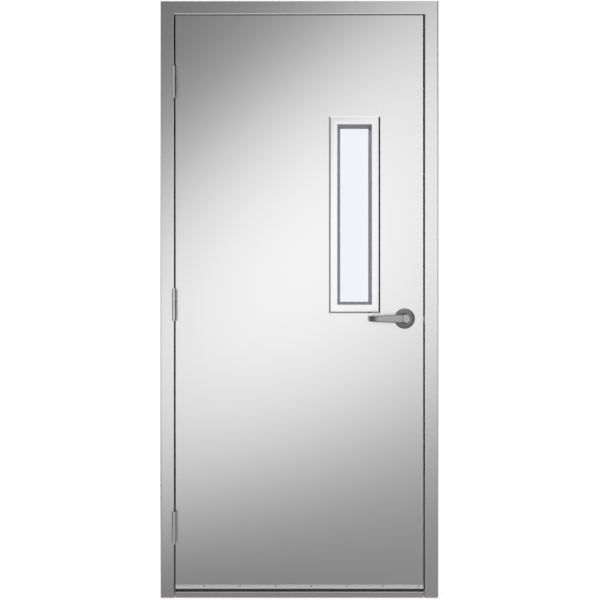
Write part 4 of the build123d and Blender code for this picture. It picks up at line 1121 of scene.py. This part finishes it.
def stage_plane(name, width, depth, matrix, material):
    """A flat rectangle of the studio, centred on the matrix and facing its Z axis."""
    mesh = bpy.data.meshes.new(name)
    corners = [(-1, -1), (1, -1), (1, 1), (-1, 1)]
    mesh.from_pydata([(x * width / 2, y * depth / 2, 0.0) for x, y in corners], [], [(0, 1, 2, 3)])
    plane = add_object(name, mesh)
    plane.matrix_world = matrix
    mesh.materials.append(material)
    return plane


def facing(location, target, axis="Z"):
    """A matrix at location whose axis points at target."""
    turn = (Vector(target) - Vector(location)).to_track_quat(axis, "Y")
    return Matrix.Translation(location) @ turn.to_matrix().to_4x4()


def area_light(name, location, target, size, power):
    """A soft square light that mirrors don't show."""
    light = bpy.data.lights.new(name, "AREA")
    light.shape = "SQUARE"
    light.size = size
    light.energy = power
    lamp = add_object(name, light)
    lamp.matrix_world = facing(location, target, "-Z")
    hide_from(lamp, "camera", "glossy")


def place_camera(settings):
    """Straight on, level, at the photograph's distance and height."""
    data = bpy.data.cameras.new("door_camera")
    data.sensor_width = SENSOR_WIDTH
    data.lens = data.sensor_width / 2 / (VIEW_HALF_HEIGHT / settings.camera_distance)
    camera = add_object("door_camera", data)
    camera.location = (
        settings.camera_side,
        FACE_Y - settings.camera_distance,
        settings.camera_height,
    )
    camera.rotation_euler = (math.pi / 2, 0.0, 0.0)
    bpy.context.scene.camera = camera


class StudioOperator(bpy.types.Operator):
    """Makes the pale floor, the white world, the mirrored cards, the soft light and the camera"""

    bl_idname = "steel_door.studio"
    bl_label = "Studio"

    def execute(self, context):
        settings = context.scene.door_studio
        white_world(settings.world_level)
        floor = floor_material(settings.floor_color)
        stage_plane("studio_floor", FLOOR_SIZE, FLOOR_SIZE, Matrix.Identity(4), floor)
        for name, side, face_y in (("tone_card", -1, FACE_Y), ("back_card", 1, LEAF_BACK)):
            profile = [(-side * y, z) for y, z in CARD_PROFILE]
            glow = band_material(name, settings, side, face_y)
            studio_card(name, profile, CARD_HALF_WIDTH, glow)
        studio_cards(SIDE_CARDS, gloss_only)
        studio_cards(HOOD_CARDS, glass_only)
        area_light("key_light", KEY_PLACE, (0.0, 0.0, FRAME_TOP / 2), KEY_SIZE, KEY_POWER)
        place_camera(settings)
        bpy.context.scene.view_settings.view_transform = "Standard"
        return {"FINISHED"}


SETTINGS = {
    "door_sheets": SheetSettings,
    "door_hardware": HardwareSettings,
    "door_trim": TrimSettings,
    "door_lite": LiteSettings,
    "door_screws": ScrewSettings,
    "door_studio": StudioSettings,
}
OPERATORS = [
    SheetOperator,
    LiteOperator,
    HingeOperator,
    LockOperator,
    HiddenOperator,
    ScrewOperator,
    TrimOperator,
    StudioOperator,
]


class SteelDoorPanel(bpy.types.Panel):
    """Lists the door's settings and the steps that make it"""

    bl_idname = "VIEW3D_PT_steel_door"
    bl_label = "Steel Door"
    bl_space_type = "VIEW_3D"
    bl_region_type = "UI"
    bl_category = "Steel Door"

    def draw(self, context):
        for name, group in SETTINGS.items():
            box = self.layout.box()
            for setting in group.__annotations__:
                box.prop(getattr(context.scene, name), setting)
        for operator in OPERATORS:
            self.layout.operator(operator.bl_idname)


def register():
    for group in SETTINGS.values():
        bpy.utils.register_class(group)
    for name, group in SETTINGS.items():
        setattr(bpy.types.Scene, name, PointerProperty(type=group))
    for kind in [*OPERATORS, SteelDoorPanel]:
        bpy.utils.register_class(kind)


def unregister():
    for kind in [SteelDoorPanel, *reversed(OPERATORS)]:
        bpy.utils.unregister_class(kind)
    for name in SETTINGS:
        delattr(bpy.types.Scene, name)
    for group in reversed(SETTINGS.values()):
        bpy.utils.unregister_class(group)


def main():
    """Registers the add-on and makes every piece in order."""
    register()
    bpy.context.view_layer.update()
    for operator in OPERATORS:
        area, step = operator.bl_idname.split(".")
        getattr(getattr(bpy.ops, area), step)()


if __name__ == "__main__":
    main()
